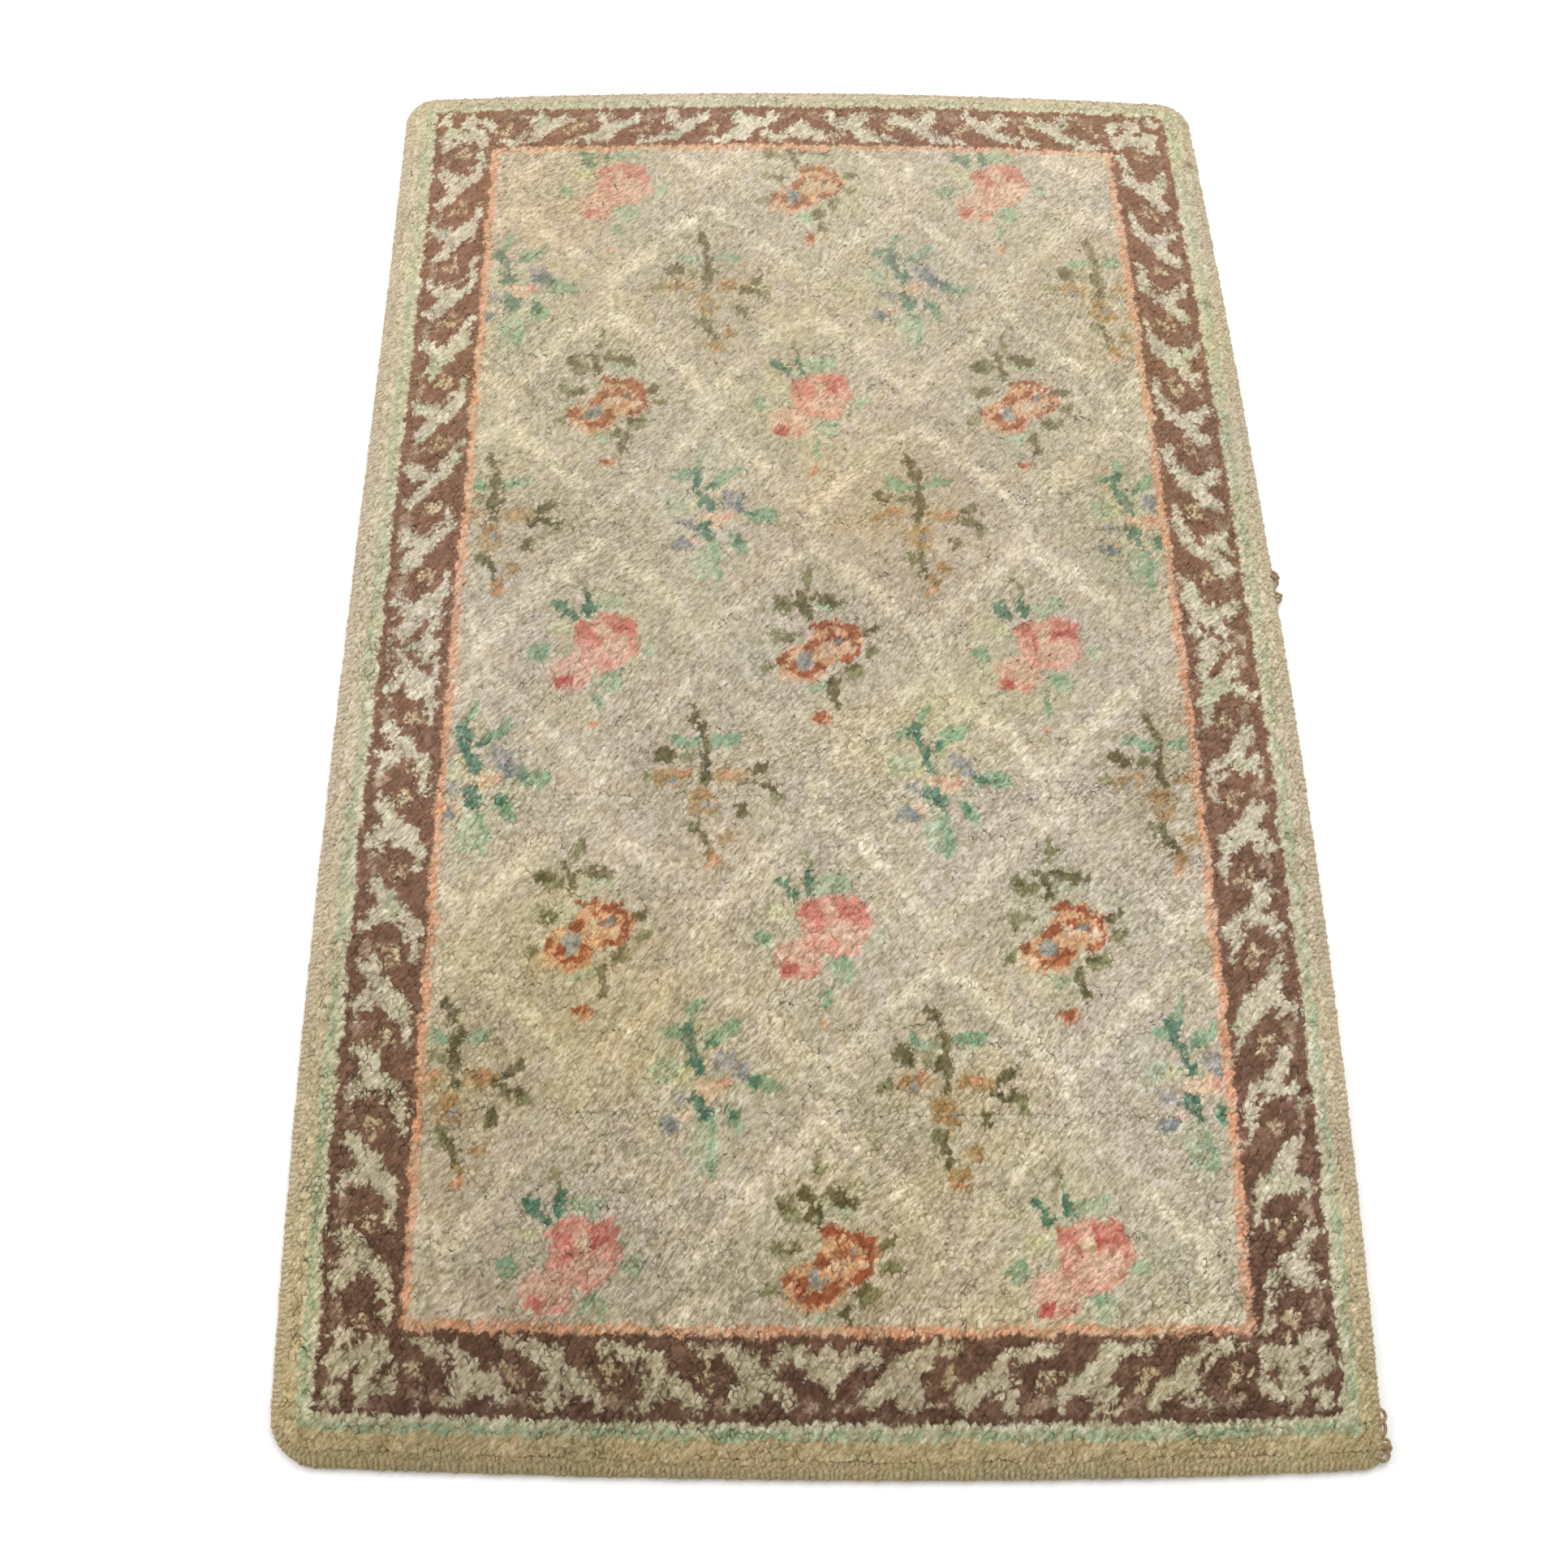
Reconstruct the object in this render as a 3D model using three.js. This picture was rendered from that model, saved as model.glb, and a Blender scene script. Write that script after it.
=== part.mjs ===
// Flat floral pile rug, about 3 by 5 feet: one thick sheet of knotted wool pile.
// Millimetres, +Z up, +X across, +Y along the length. The origin is the middle of the underside.
import * as THREE from 'three';

// The pile surface lies this high above the floor.
const PILE_HEIGHT = 16;

// Corners of the rug as they would meet if they were sharp, and how far each is rounded.
const CORNERS = {
  farLeft: { x: -457, y: 742, radius: 32 },
  farRight: { x: 442, y: 742, radius: 34 },
  nearRight: { x: 451, y: -759, radius: 16 },
  nearLeft: { x: -449, y: -752, radius: 40 },
};

// How far each edge bows outward from the line between its corners, and how much of
// that bow is shifted towards the positive end of the edge.
const EDGES = {
  left: { bow: 8, shift: -1.0 },
  right: { bow: 20, shift: -0.2 },
  far: { bow: 17, shift: 0 },
  near: { bow: 10, shift: 0.2 },
};

// The rim's unsteady line: waves in a turn round the rug, and their reach in and out.
const WAVERS = [
  { waves: 23, reach: 0.7, phase: 0.4 },
  { waves: 41, reach: 0.5, phase: 2.1 },
];

// Section of the rim, where the outermost pile rolls over to the floor: how far in from
// the outline, and how high, as a share of the pile height.
const RIM_SECTION = [
  { inset: 0.6, rise: 0 },
  { inset: 0, rise: 0.16 },
  { inset: 2.4, rise: 0.42 },
  { inset: 7, rise: 0.68 },
  { inset: 14, rise: 0.87 },
  { inset: 24, rise: 1 },
];

// Rings across the pile surface inside the rim, as insets from the outline.
const FIELD_INSETS = [70, 150, 250, 350];

// Low swells of the worn pile: its full height, and the lengths of its two waves.
const SWELL = { height: 0.8, along: 410, across: 290 };

// Steps on each edge and on each rounded corner.
const LONG_STEPS = 40;
const SHORT_STEPS = 24;
const CORNER_STEPS = 7;

const YARN = { color: 0xb9a98a, roughness: 0.95, metalness: 0 };

const HALF_WIDTH = (CORNERS.nearRight.x - CORNERS.nearLeft.x) / 2;
const HALF_LENGTH = (CORNERS.farLeft.y - CORNERS.nearLeft.y) / 2;

const bowed = (edge, t) => edge.bow * (1 - t * t) * (1 + edge.shift * t);

// Carries a point of the plain rectangle, with u and v from -1 to 1, onto the bowed rug.
function laid(u, v) {
  const { lerp } = THREE.MathUtils;
  const across = (u + 1) / 2;
  const along = (v + 1) / 2;
  const left = lerp(CORNERS.nearLeft.x, CORNERS.farLeft.x, along) - bowed(EDGES.left, v);
  const right = lerp(CORNERS.nearRight.x, CORNERS.farRight.x, along) + bowed(EDGES.right, v);
  const near = lerp(CORNERS.nearLeft.y, CORNERS.nearRight.y, across) - bowed(EDGES.near, u);
  const far = lerp(CORNERS.farLeft.y, CORNERS.farRight.y, across) + bowed(EDGES.far, u);
  return new THREE.Vector2(lerp(left, right, across), lerp(near, far, along));
}

// One turn round the plain rectangle, counter-clockwise, at an inset from its edge.
function rectangleRing(inset) {
  const ring = [];
  const turns = [
    { corner: CORNERS.nearLeft, sx: -1, sy: -1, from: Math.PI, steps: SHORT_STEPS },
    { corner: CORNERS.nearRight, sx: 1, sy: -1, from: -Math.PI / 2, steps: LONG_STEPS },
    { corner: CORNERS.farRight, sx: 1, sy: 1, from: 0, steps: SHORT_STEPS },
    { corner: CORNERS.farLeft, sx: -1, sy: 1, from: Math.PI / 2, steps: LONG_STEPS },
  ];
  const sharpest = 1.5;
  const arcs = turns.map(({ corner, sx, sy, from }) => {
    const radius = Math.max(corner.radius - inset, sharpest);
    const x = sx * (HALF_WIDTH - inset - radius);
    const y = sy * (HALF_LENGTH - inset - radius);
    return Array.from({ length: CORNER_STEPS + 1 }, (_, i) => {
      const angle = from + (i / CORNER_STEPS) * (Math.PI / 2);
      return new THREE.Vector2(x + radius * Math.cos(angle), y + radius * Math.sin(angle));
    });
  });
  arcs.forEach((arc, k) => {
    const start = arc[arc.length - 1];
    const end = arcs[(k + 1) % arcs.length][0];
    ring.push(...arc);
    for (let i = 1; i < turns[k].steps; i += 1) {
      ring.push(start.clone().lerp(end, i / turns[k].steps));
    }
  });
  return ring;
}

// The same turn laid on the bowed rug, with the rim's unsteady line.
function outlineRing(inset) {
  const ring = rectangleRing(inset);
  return ring.map((p, i) => {
    const turn = (i / ring.length) * Math.PI * 2;
    const waver = WAVERS.reduce((sum, w) => sum + w.reach * Math.sin(w.waves * turn + w.phase), 0);
    const point = laid(p.x / HALF_WIDTH, p.y / HALF_LENGTH);
    const fade = THREE.MathUtils.clamp(1 - inset / FIELD_INSETS[0], 0, 1);
    return point.addScaledVector(p.clone().normalize(), waver * fade);
  });
}

function swell(x, y) {
  const wave = Math.sin((x / SWELL.across) * Math.PI * 2) * Math.cos((y / SWELL.along) * Math.PI * 2);
  return (wave * SWELL.height) / 2;
}

// Every ring of the solid, from the underside's edge up over the rim to the middle of the pile.
function rugRings() {
  const rim = RIM_SECTION.map(({ inset, rise }) =>
    outlineRing(inset).map((p) => new THREE.Vector3(p.x, p.y, rise * PILE_HEIGHT)));
  const field = FIELD_INSETS.map((inset) =>
    outlineRing(inset).map((p) => new THREE.Vector3(p.x, p.y, PILE_HEIGHT + swell(p.x, p.y))));
  return [...rim, ...field];
}

// Joins the rings into one closed skin, with a fan of faces at the underside and at the top.
function rugGeometry() {
  const rings = rugRings();
  const count = rings[0].length;
  const box = new THREE.Box3().setFromPoints(rings.flat());
  const middle = box.getCenter(new THREE.Vector3()).setZ(0);
  const points = rings.flat().map((p) => p.sub(middle));
  const underside = points.push(new THREE.Vector3(0, 0, 0)) - 1;
  const crown = points.push(new THREE.Vector3(0, 0, PILE_HEIGHT)) - 1;
  const top = (rings.length - 1) * count;
  const faces = [];
  for (let i = 0; i < count; i += 1) {
    const next = (i + 1) % count;
    faces.push(underside, next, i);
    for (let r = 0; r < top; r += count) {
      faces.push(r + i, r + next, r + count + next);
      faces.push(r + i, r + count + next, r + count + i);
    }
    faces.push(top + i, top + next, crown);
  }
  const geometry = new THREE.BufferGeometry().setFromPoints(points);
  geometry.setIndex(faces);
  geometry.computeVertexNormals();
  return geometry;
}

const rug = new THREE.Mesh(rugGeometry(), new THREE.MeshStandardMaterial(YARN));
rug.name = 'rug';

const part = new THREE.Group();
part.add(rug);

export default part;
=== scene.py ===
# A floral pile rug, about 3 by 5 feet: thousands of cut wool knots on a woven ground, lying flat.
import math
from collections import namedtuple

import bpy
import numpy as np
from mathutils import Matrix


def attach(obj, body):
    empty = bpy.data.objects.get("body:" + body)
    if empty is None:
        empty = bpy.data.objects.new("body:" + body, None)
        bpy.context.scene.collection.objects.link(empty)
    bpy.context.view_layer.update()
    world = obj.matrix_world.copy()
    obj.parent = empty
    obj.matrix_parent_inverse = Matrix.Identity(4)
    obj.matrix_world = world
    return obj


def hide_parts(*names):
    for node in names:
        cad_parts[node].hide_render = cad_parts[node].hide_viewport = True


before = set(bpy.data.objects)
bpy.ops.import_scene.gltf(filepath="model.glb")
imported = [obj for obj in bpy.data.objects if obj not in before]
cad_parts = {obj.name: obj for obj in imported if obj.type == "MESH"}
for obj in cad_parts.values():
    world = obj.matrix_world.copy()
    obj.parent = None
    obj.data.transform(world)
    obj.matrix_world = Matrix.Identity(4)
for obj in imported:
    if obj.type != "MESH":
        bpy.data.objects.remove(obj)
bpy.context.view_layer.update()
SEED = 7
rng = np.random.default_rng(SEED)

# The rug is drawn in millimetres and its meshes are made in metres.
MM = 0.001

# Plan of the rug: its corners as they would meet if sharp, and how far each is rounded.
Corner = namedtuple("Corner", "x y radius")
FAR_LEFT = Corner(-457, 742, 32)
FAR_RIGHT = Corner(442, 742, 34)
NEAR_RIGHT = Corner(451, -759, 16)
NEAR_LEFT = Corner(-449, -752, 40)

# How far each edge bows outward, and how much of the bow is shifted towards its positive end.
Edge = namedtuple("Edge", "bow shift")
LEFT_EDGE = Edge(8, -1.0)
RIGHT_EDGE = Edge(20, -0.2)
FAR_EDGE = Edge(17, 0.0)
NEAR_EDGE = Edge(10, 0.2)

HALF_WIDTH = (NEAR_RIGHT.x - NEAR_LEFT.x) / 2
HALF_LENGTH = (FAR_LEFT.y - NEAR_LEFT.y) / 2

# Section of the rim, where the pile rolls over to the floor.
RIM_INSETS = (0, 2.4, 7, 14, 24)
RIM_HEIGHTS = (2.6, 6.7, 10.9, 13.9, 16)

# Low swells of the worn pile: their height, and the lengths of their two waves.
SWELL_HEIGHT = 0.4
SWELL_ACROSS = 290
SWELL_ALONG = 410

# Uneven dye, wear and wander come in soft patches: their mean, how far they stray from it, their size and
# a seed of their own.
Patch = namedtuple("Patch", "mean stray size seed")
# Values that change along the length: at its middle, and by how much from there to the far end.
Change = namedtuple("Change", "middle far")

# Size of a knot on the face of the pile, how far its corners stray, and how far the rows wander.
KNOT_ACROSS = 5.4
KNOT_ALONG = 5.1
KNOT_STRAY = 0.9
ROW_WANDER = Patch(0, 2.2, 19, 51)
# Each knot has a crown, a ring of six points round it, and two of its corners, its far and its near one.
KNOT_SIDES = 6
KNOT_POINTS = 1 + KNOT_SIDES + 2
CROWN, RING, CORNER = range(3)
POINT_KINDS = (CROWN, *[RING] * KNOT_SIDES, CORNER, CORNER)
# How far out the ring lies, as a share of the way to the corners, and how unsteady it is.
RING_SHARE = 0.64
RING_STRAY = 0.18
# For each kind of point: how far a domed knot lifts it, how far it leans, and the light the dome gives it:
# painted light on the crown and painted shade at the corners.
DOME = (0.4, 0.2, -0.3)
LEAN = (0.7, 0.56, 0.0)
DOME_LIGHT = (0.05, 0.0, -0.09)
# How much the knots are domed at the edges and in the felted field, and how their heights differ.
EDGE_PEBBLES = Change(0.22, -0.14)
FIELD_PEBBLES = Change(0.1, -0.1)
HEIGHT_STRAY = 0.2
# Directions in which the pile lies, in degrees from the rug's width: most of it, and the patches between,
# with its wander in radians.
COMB_TURN = 52
CROSS_TURN = 40
COMB_WANDER = Patch(0, 0.45, 420, 31)
CROSS_PATCHES = Patch(0.5, 1.5, 260, 34)
# Clumps of combed fibre: how narrow and how drawn out they are, how high, and the light they give: painted
# lighter where they stand higher and darker where lower.
STREAK_SIZE = 2.5
STREAK_STRETCH = 2.8
COMB_SEED = 35
CROSS_SEED = 36
GRAIN_STRAY = 0.4
GRAIN_HEIGHT = 0.4
GRAIN_LIGHT = Change(0.13, -0.08)
# Share of knots with a crack beside them, in the field and towards the edges, and of each way it may run.
FIELD_CRACKS = 0.28
EDGE_CRACKS = 0.26
CRACK_WAYS = (0.62, 0.10, 0.28)
# Cracks thin out towards the far end and gather in patches, and are smaller in the field.
CRACK_THINNING = 0.7
CRACK_PATCHES = Patch(1, 0.9, 70, 32)
EDGE_CRACK_SIZE = 1.0
FIELD_CRACK_SIZE = 0.7
# The smallest crack as a share of that size, and how far any two knots may part.
LEAST_CRACK = 0.2
CRACK_SLACK = 0.12
# How deep a crack is, how much of the yarn's light its painted shade takes, and how much less of it at the
# far end.
CRACK_DEPTH = 1.9
CRACK_SHADE = 0.37
FAR_CRACKS = 0.5
# Shade takes more of the blue than of the red.
SHADE_TINT = np.array([0.92, 1.0, 1.3])
# How closely a point's colour follows its own place rather than its knot's, and how far it strays.
COLOUR_FOLLOW = 0.75
COLOUR_STRAY = 0.9
TIP_STRAY = 0.6
# The pile's edge in from the outline, the height of its foot on the ground weave, and the light kept there
# under painted shade.
PILE_EDGE = 11.5
PILE_FOOT = 6.5
HIDDEN_LIGHT = 0.5
# The pile is made in bands along the length.
PILE_BANDS = ("near", "near_middle", "middle", "far_middle", "far")
# Parts of a band's map for baking: its face, its foot, and the strip of its sides between two heights.
Strip = namedtuple("Strip", "size start")
FACE_STRIP = Strip((0.98, 0.85), (0.01, 0.01))
FOOT_STRIP = Strip((0.98, 0.08), (0.01, 0.88))
SIDES_TOP = 0.99
SIDES_BOTTOM = 0.97

# Yarn colours, each with the colour that its knots stray towards.
Yarn = namedtuple("Yarn", "main stray")
YARNS = {
    "field": Yarn((194, 179, 158), (188, 176, 152)),
    "warm": Yarn((200, 185, 150), (190, 176, 150)),
    "trellis": Yarn((218, 205, 176), (206, 193, 164)),
    "brown": Yarn((91, 63, 45), (119, 89, 70)),
    "scroll": Yarn((214, 204, 177), (194, 183, 158)),
    "lavender": Yarn((176, 160, 146), (150, 130, 116)),
    "eye": Yarn((204, 186, 148), (176, 150, 116)),
    "salmon": Yarn((214, 156, 120), (206, 172, 140)),
    "mint": Yarn((158, 176, 136), (192, 186, 150)),
    "rim": Yarn((200, 177, 130), (188, 172, 125)),
    "rim cream": Yarn((205, 197, 166), (194, 188, 152)),
    "far rim": Yarn((202, 188, 160), (196, 186, 154)),
    "ochre": Yarn((198, 158, 96), (190, 164, 112)),
    "dark pink": Yarn((194, 114, 97), (203, 138, 118)),
    "pink": Yarn((212, 148, 127), (209, 166, 143)),
    "pale pink": Yarn((215, 172, 148), (209, 178, 152)),
    "red": Yarn((176, 82, 72), (190, 110, 94)),
    "peach": Yarn((208, 156, 116), (204, 168, 130)),
    "pale peach": Yarn((216, 180, 146), (204, 182, 150)),
    "rust": Yarn((144, 74, 42), (172, 104, 66)),
    "blue grey": Yarn((126, 132, 126), (148, 146, 134)),
    "dark green": Yarn((70, 112, 86), (104, 134, 104)),
    "green": Yarn((130, 160, 124), (154, 168, 136)),
    "pale green": Yarn((168, 180, 146), (184, 180, 152)),
    "yellow green": Yarn((198, 194, 150), (194, 184, 150)),
    "teal": Yarn((72, 110, 88), (106, 134, 108)),
    "grey": Yarn((152, 150, 144), (170, 162, 148)),
    "olive": Yarn((90, 83, 48), (120, 109, 70)),
    "olive green": Yarn((124, 124, 82), (150, 142, 104)),
    "tan": Yarn((180, 150, 108), (186, 164, 128)),
    "mustard": Yarn((160, 126, 78), (174, 148, 106)),
    "bud": Yarn((206, 142, 104), (202, 160, 126)),
    "haze": Yarn((184, 184, 150), (184, 184, 150)),
    "dull": Yarn((172, 146, 120), (140, 112, 92)),
    "far brown": Yarn((143, 106, 82), (143, 106, 82)),
    "loose": Yarn((178, 154, 118), (140, 112, 80)),
    "aged": Yarn((179, 164, 127), (179, 164, 127)),
    "faded": Yarn((208, 192, 162), (208, 192, 162)),
}
YARN_NAMES = list(YARNS)


def linear(colour):
    """Turns 0-255 display colours into linear light."""
    c = np.asarray(colour, float) / 255
    return np.where(c <= 0.04045, c / 12.92, ((c + 0.055) / 1.055) ** 2.4)


YARN_LIGHT = np.array([linear(y.main) for y in YARNS.values()])
STRAY_LIGHT = np.array([linear(y.stray) for y in YARNS.values()])


def yarn(name):
    return YARN_NAMES.index(name)


# The border: where its brown outer line lies in from each edge, and its width there.
Band = namedtuple("Band", "inset width")
LEFT_BAND = Band(36, 66)
RIGHT_BAND = Band(34, 66)
NEAR_BAND = Band(41, 67)
FAR_BAND = Band(32, 58)
BANDS = (LEFT_BAND, RIGHT_BAND, NEAR_BAND, FAR_BAND)
# Width that the border's ornament is drawn for, and the width of the salmon line inside it.
BAND_WIDTH = 66.0
SALMON_WIDTH = 8.0
# How far outside the brown the cream line ends, and the mint line beyond it.
CREAM_END = 5.5
MINT_END = 13.0

# Ornament of the border, drawn as ovals: middle, half length, half width, yarn and turn in degrees,
# each painted over those before it.
Oval = namedtuple("Oval", "x y long wide yarn turn", defaults=(0,))
# One scroll: x runs from its eye towards the middle of the side, y from the outer line to the field.
SCROLL = (
    Oval(9, 14, 11, 5, "dull"),
    Oval(2, 55, 10, 4, "scroll", -8),
    Oval(17, 54, 15, 6, "scroll", -8),
    Oval(32, 46, 15, 10, "scroll", -28),
    Oval(43, 34, 16, 9.5, "scroll", -22),
    Oval(60, 24, 17, 7.5, "scroll", -22),
    Oval(69, 14, 6, 5.5, "scroll"),
    Oval(36, 19, 10, 8.5, "scroll", 30),
    Oval(29, 11, 10, 3.5, "scroll", 5),
    Oval(23, 33, 6, 4.5, "brown", 60),
    Oval(1, 40, 7, 3.2, "eye", -8),
    Oval(-7, 35, 4, 2.8, "eye", -25),
    Oval(4, 30, 4, 4, "eye"),
)
# Brown vein that parts the leaf of every second scroll.
VEIN = (Oval(29, 41, 11, 3.2, "brown", -62),)
# Half of the leaf at the middle of a side: x runs from the middle outward along the side.
MIDDLE_LEAF = (
    Oval(15, 14, 9, 5, "dull"),
    Oval(0, 45, 13, 9, "scroll"),
    Oval(0, 32, 7, 10, "scroll"),
    Oval(14, 43, 9, 5.5, "scroll", 40),
    Oval(26, 53, 13, 6, "scroll", -6),
    Oval(38, 45, 8, 5, "scroll", 80),
)
# Rosette in each corner: x from the long edge's outer line, y from the short edge's.
ROSETTE = (
    Oval(13, 17, 8, 5, "scroll"),
    Oval(13, 9, 9, 4, "scroll", -20),
    Oval(19, 60, 12, 6.5, "scroll", -20),
    Oval(18, 50, 9, 6, "scroll"),
    Oval(54, 54, 7, 7, "scroll"),
    Oval(37, 45, 26, 10, "scroll", 8),
    Oval(17, 36, 13, 6.5, "scroll", -38),
    Oval(42, 29, 13, 12, "scroll"),
    Oval(38, 15, 11, 6, "scroll", -60),
    Oval(50, 18, 12, 5, "scroll"),
    Oval(62, 27, 7, 11, "scroll"),
    Oval(32.5, 32.5, 4.8, 4.4, "brown"),
    Oval(54, 34, 5.2, 4.8, "brown"),
    Oval(50.5, 24, 5.2, 4.6, "brown"),
    Oval(24, 50, 4, 3.5, "brown"),
)
# Runs of scrolls from the middle of a side to its corner: where the first one's eye lies, how far apart
# they are, and how many there are.
Run = namedtuple("Run", "start pitch count")
END_RUN = Run(101, 78, 4)
SIDE_RUN = Run(80, 80, 8)
# How far from its middle a scroll may reach, in pitches.
SCROLL_REACH = 0.75

# The leaves are drawn out into ragged flames: how far, and which way in degrees.
LEAF_PULL = 5.0
LEAF_TURN = -35
LEAF_SEED = 64
# Edges of all colours are pulled along the combed pile and ragged; straight lines take a share of that.
COLOUR_PULL = 3.2
PULL_SEED = 63
RAGGED = Patch(0, 2.2, 13, 61)
LINE_SHARE = 0.5

# The field's lattice of sprigs: the steps across and along to the nearest one, and where its middle lies.
SPRIG_ACROSS = 105.0
SPRIG_ALONG = 147.0
LATTICE_MIDDLE = 9.0
# Two lattices take turns, the second set off by half a step.
MAIN_LATTICE = 0
SIDE_LATTICE = 0.5
# The trellis's arch over a sprig: the heights of its top and its feet, how far out the feet are, how
# rounded it is, how soft its edges are, and where and how softly its feet end.
ARCH_TOP = 114.0
ARCH_FOOT = 10.0
ARCH_REACH = 103.0
ARCH_CURVE = 1.2
ARCH_SOFT = 8.5
ARCH_END = 1.06
ARCH_END_SOFT = 0.08
# Half sizes of the cluster where the feet of two arches meet, and how far below the sprigs' middles it is.
CLUSTER_ACROSS = 22.0
CLUSTER_ALONG = 34.0
CLUSTER_DROP = 4.0
CLUSTER_PATCHES = Patch(0.5, 1.4, 11, 43)
# The trellis's wander and its uneven half width, and how much of its cream is left.
TRELLIS_WANDER = Patch(0, 3, 24, 45)
TRELLIS_WIDTH = Patch(6.5, 2.5, 22, 41)
TRELLIS_RAGGED = Patch(0, 3.5, 9, 42)
TRELLIS_WEAR = Patch(0.82, 0.4, 30, 44)

# Sprigs, drawn in the same way about their middles: +x to the right, +y away.
PINK_SPRIG = (
    Oval(-15, 70, 10.5, 3.5, "olive green", 118),
    Oval(-10, 47, 15, 4.5, "dark green", 100),
    Oval(-31, 41, 15, 6.5, "dark green", 132),
    Oval(11, 46, 17, 9, "pale green", 10),
    Oval(-36, 17, 11, 8, "yellow green"),
    Oval(-53, -8, 9.5, 9, "green", -15),
    Oval(51, -5, 8.5, 7.5, "pale green", 20),
    Oval(18, -38, 11.5, 13, "pale green"),
    Oval(15, -31, 6.5, 5, "green"),
    Oval(5, -64, 10.5, 4, "green", 95),
    Oval(1, -89, 4, 4, "bud"),
    Oval(-21, -29, 21, 20, "pale pink"),
    Oval(-12, -42, 8, 5, "pink", 20),
    Oval(-30, -39, 8, 7, "dark pink"),
    Oval(-30, -40, 5, 4.5, "red"),
    Oval(11, 4, 31, 30, "pink"),
    Oval(17, -6, 19, 13, "pale pink"),
    Oval(5, -17, 9, 7, "pink"),
    Oval(-11, 19, 10, 9, "dark pink"),
    Oval(25, 24, 14, 9, "dark pink", -15),
    Oval(33, 15, 6, 6, "dark pink"),
    Oval(21, 15, 8, 4.5, "red"),
    Oval(-1, 9, 4, 10, "dark pink", -10),
    Oval(8, 16, 6, 7, "pale peach"),
)
ORANGE_SPRIG = (
    Oval(-7, 78, 15, 4, "olive green", 84),
    Oval(-17, 58, 5.5, 5, "olive"),
    Oval(-12, 46, 18, 5, "olive", 105),
    Oval(-32, 46, 14, 9, "olive green", 140),
    Oval(-36, 48, 7.5, 5, "olive", 140),
    Oval(12, 45, 15, 6.5, "pale green", -12),
    Oval(11, 53, 18, 6, "olive", -12),
    Oval(-34, 12, 15, 6.5, "olive green", -12),
    Oval(-29, 10, 8.5, 4, "olive", -12),
    Oval(49, 14, 10.5, 5, "olive", 30),
    Oval(53, -6, 8.5, 6.5, "olive green", 20),
    Oval(-46, -24, 7.5, 5, "olive green", 20),
    Oval(33, -28, 10.5, 9, "olive green", 15),
    Oval(29, -25, 6.5, 4.5, "olive", 15),
    Oval(-2, -46, 9.5, 6.5, "pale green"),
    Oval(15, -43, 8.5, 6, "olive", 105),
    Oval(19, -58, 11.5, 4, "olive", 98),
    Oval(3, -79, 9, 6, "bud"),
    Oval(2, -77, 5, 4, "rust"),
    Oval(18, 5, 26, 23, "peach"),
    Oval(4, 24, 12, 4.5, "rust"),
    Oval(27, 20, 13, 5, "rust", -22),
    Oval(36, 9, 5, 7, "rust"),
    Oval(38, -6, 5, 7, "rust"),
    Oval(26, -15, 9, 4, "rust", 18),
    Oval(12, 10, 6, 5, "rust"),
    Oval(9, -2, 10, 7, "pale peach"),
    Oval(30, -4, 7, 5, "pale peach"),
    Oval(22, 6, 6, 5, "rust"),
    Oval(22, 6, 4, 4, "blue grey"),
    Oval(-12, -20, 25, 20, "peach"),
    Oval(-30, -33, 8, 5, "pale peach"),
    Oval(-5, 2, 11, 5.5, "rust", 35),
    Oval(-32, -14, 7, 5, "rust", 30),
    Oval(-8, -30, 11, 4.5, "rust", 10),
    Oval(3, -22, 6, 7, "rust"),
    Oval(-21, -21, 5, 6, "rust"),
    Oval(-11, -15, 8.5, 9, "grey"),
    Oval(-11, -15, 5.5, 5, "blue grey"),
)
BLUE_SPRIG = (
    Oval(8, 0, 17, 9, "pale peach"),
    Oval(-8, 70, 12.5, 4.5, "green", 72),
    Oval(-24, 51, 10.5, 6, "green", 15),
    Oval(-14, 55, 6.5, 5, "teal"),
    Oval(-11, 42, 15, 5.5, "teal", 105),
    Oval(-3, 20, 12.5, 6, "teal", 120),
    Oval(18, 50, 19, 7, "green", 36),
    Oval(6, 41, 6.5, 4, "dark green", 36),
    Oval(-27, 15, 18, 13, "yellow green"),
    Oval(-31, 17, 12.5, 11.5, "pale green"),
    Oval(24, 23, 14, 9.5, "grey", -30),
    Oval(34, 12, 10.5, 6, "blue grey", -35),
    Oval(54, 3, 17, 8.5, "green", -5),
    Oval(44, 5, 7.5, 4, "teal", -20),
    Oval(21, 5, 5, 3.4, "pink"),
    Oval(-20, -8, 10.5, 4.5, "grey", -30),
    Oval(-26, -33, 10.5, 7, "blue grey", -10),
    Oval(-14, -27, 5, 3.6, "pale pink"),
    Oval(0, -16, 15, 7, "teal", 122),
    Oval(30, -29, 16, 7, "green", 122),
    Oval(26, -23, 9.5, 4, "dark green", 122),
    Oval(3, -53, 15, 20.5, "pale green"),
    Oval(10, -47, 18, 4, "green", 98),
    Oval(11, -68, 11.5, 4, "green", 88),
)
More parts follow.
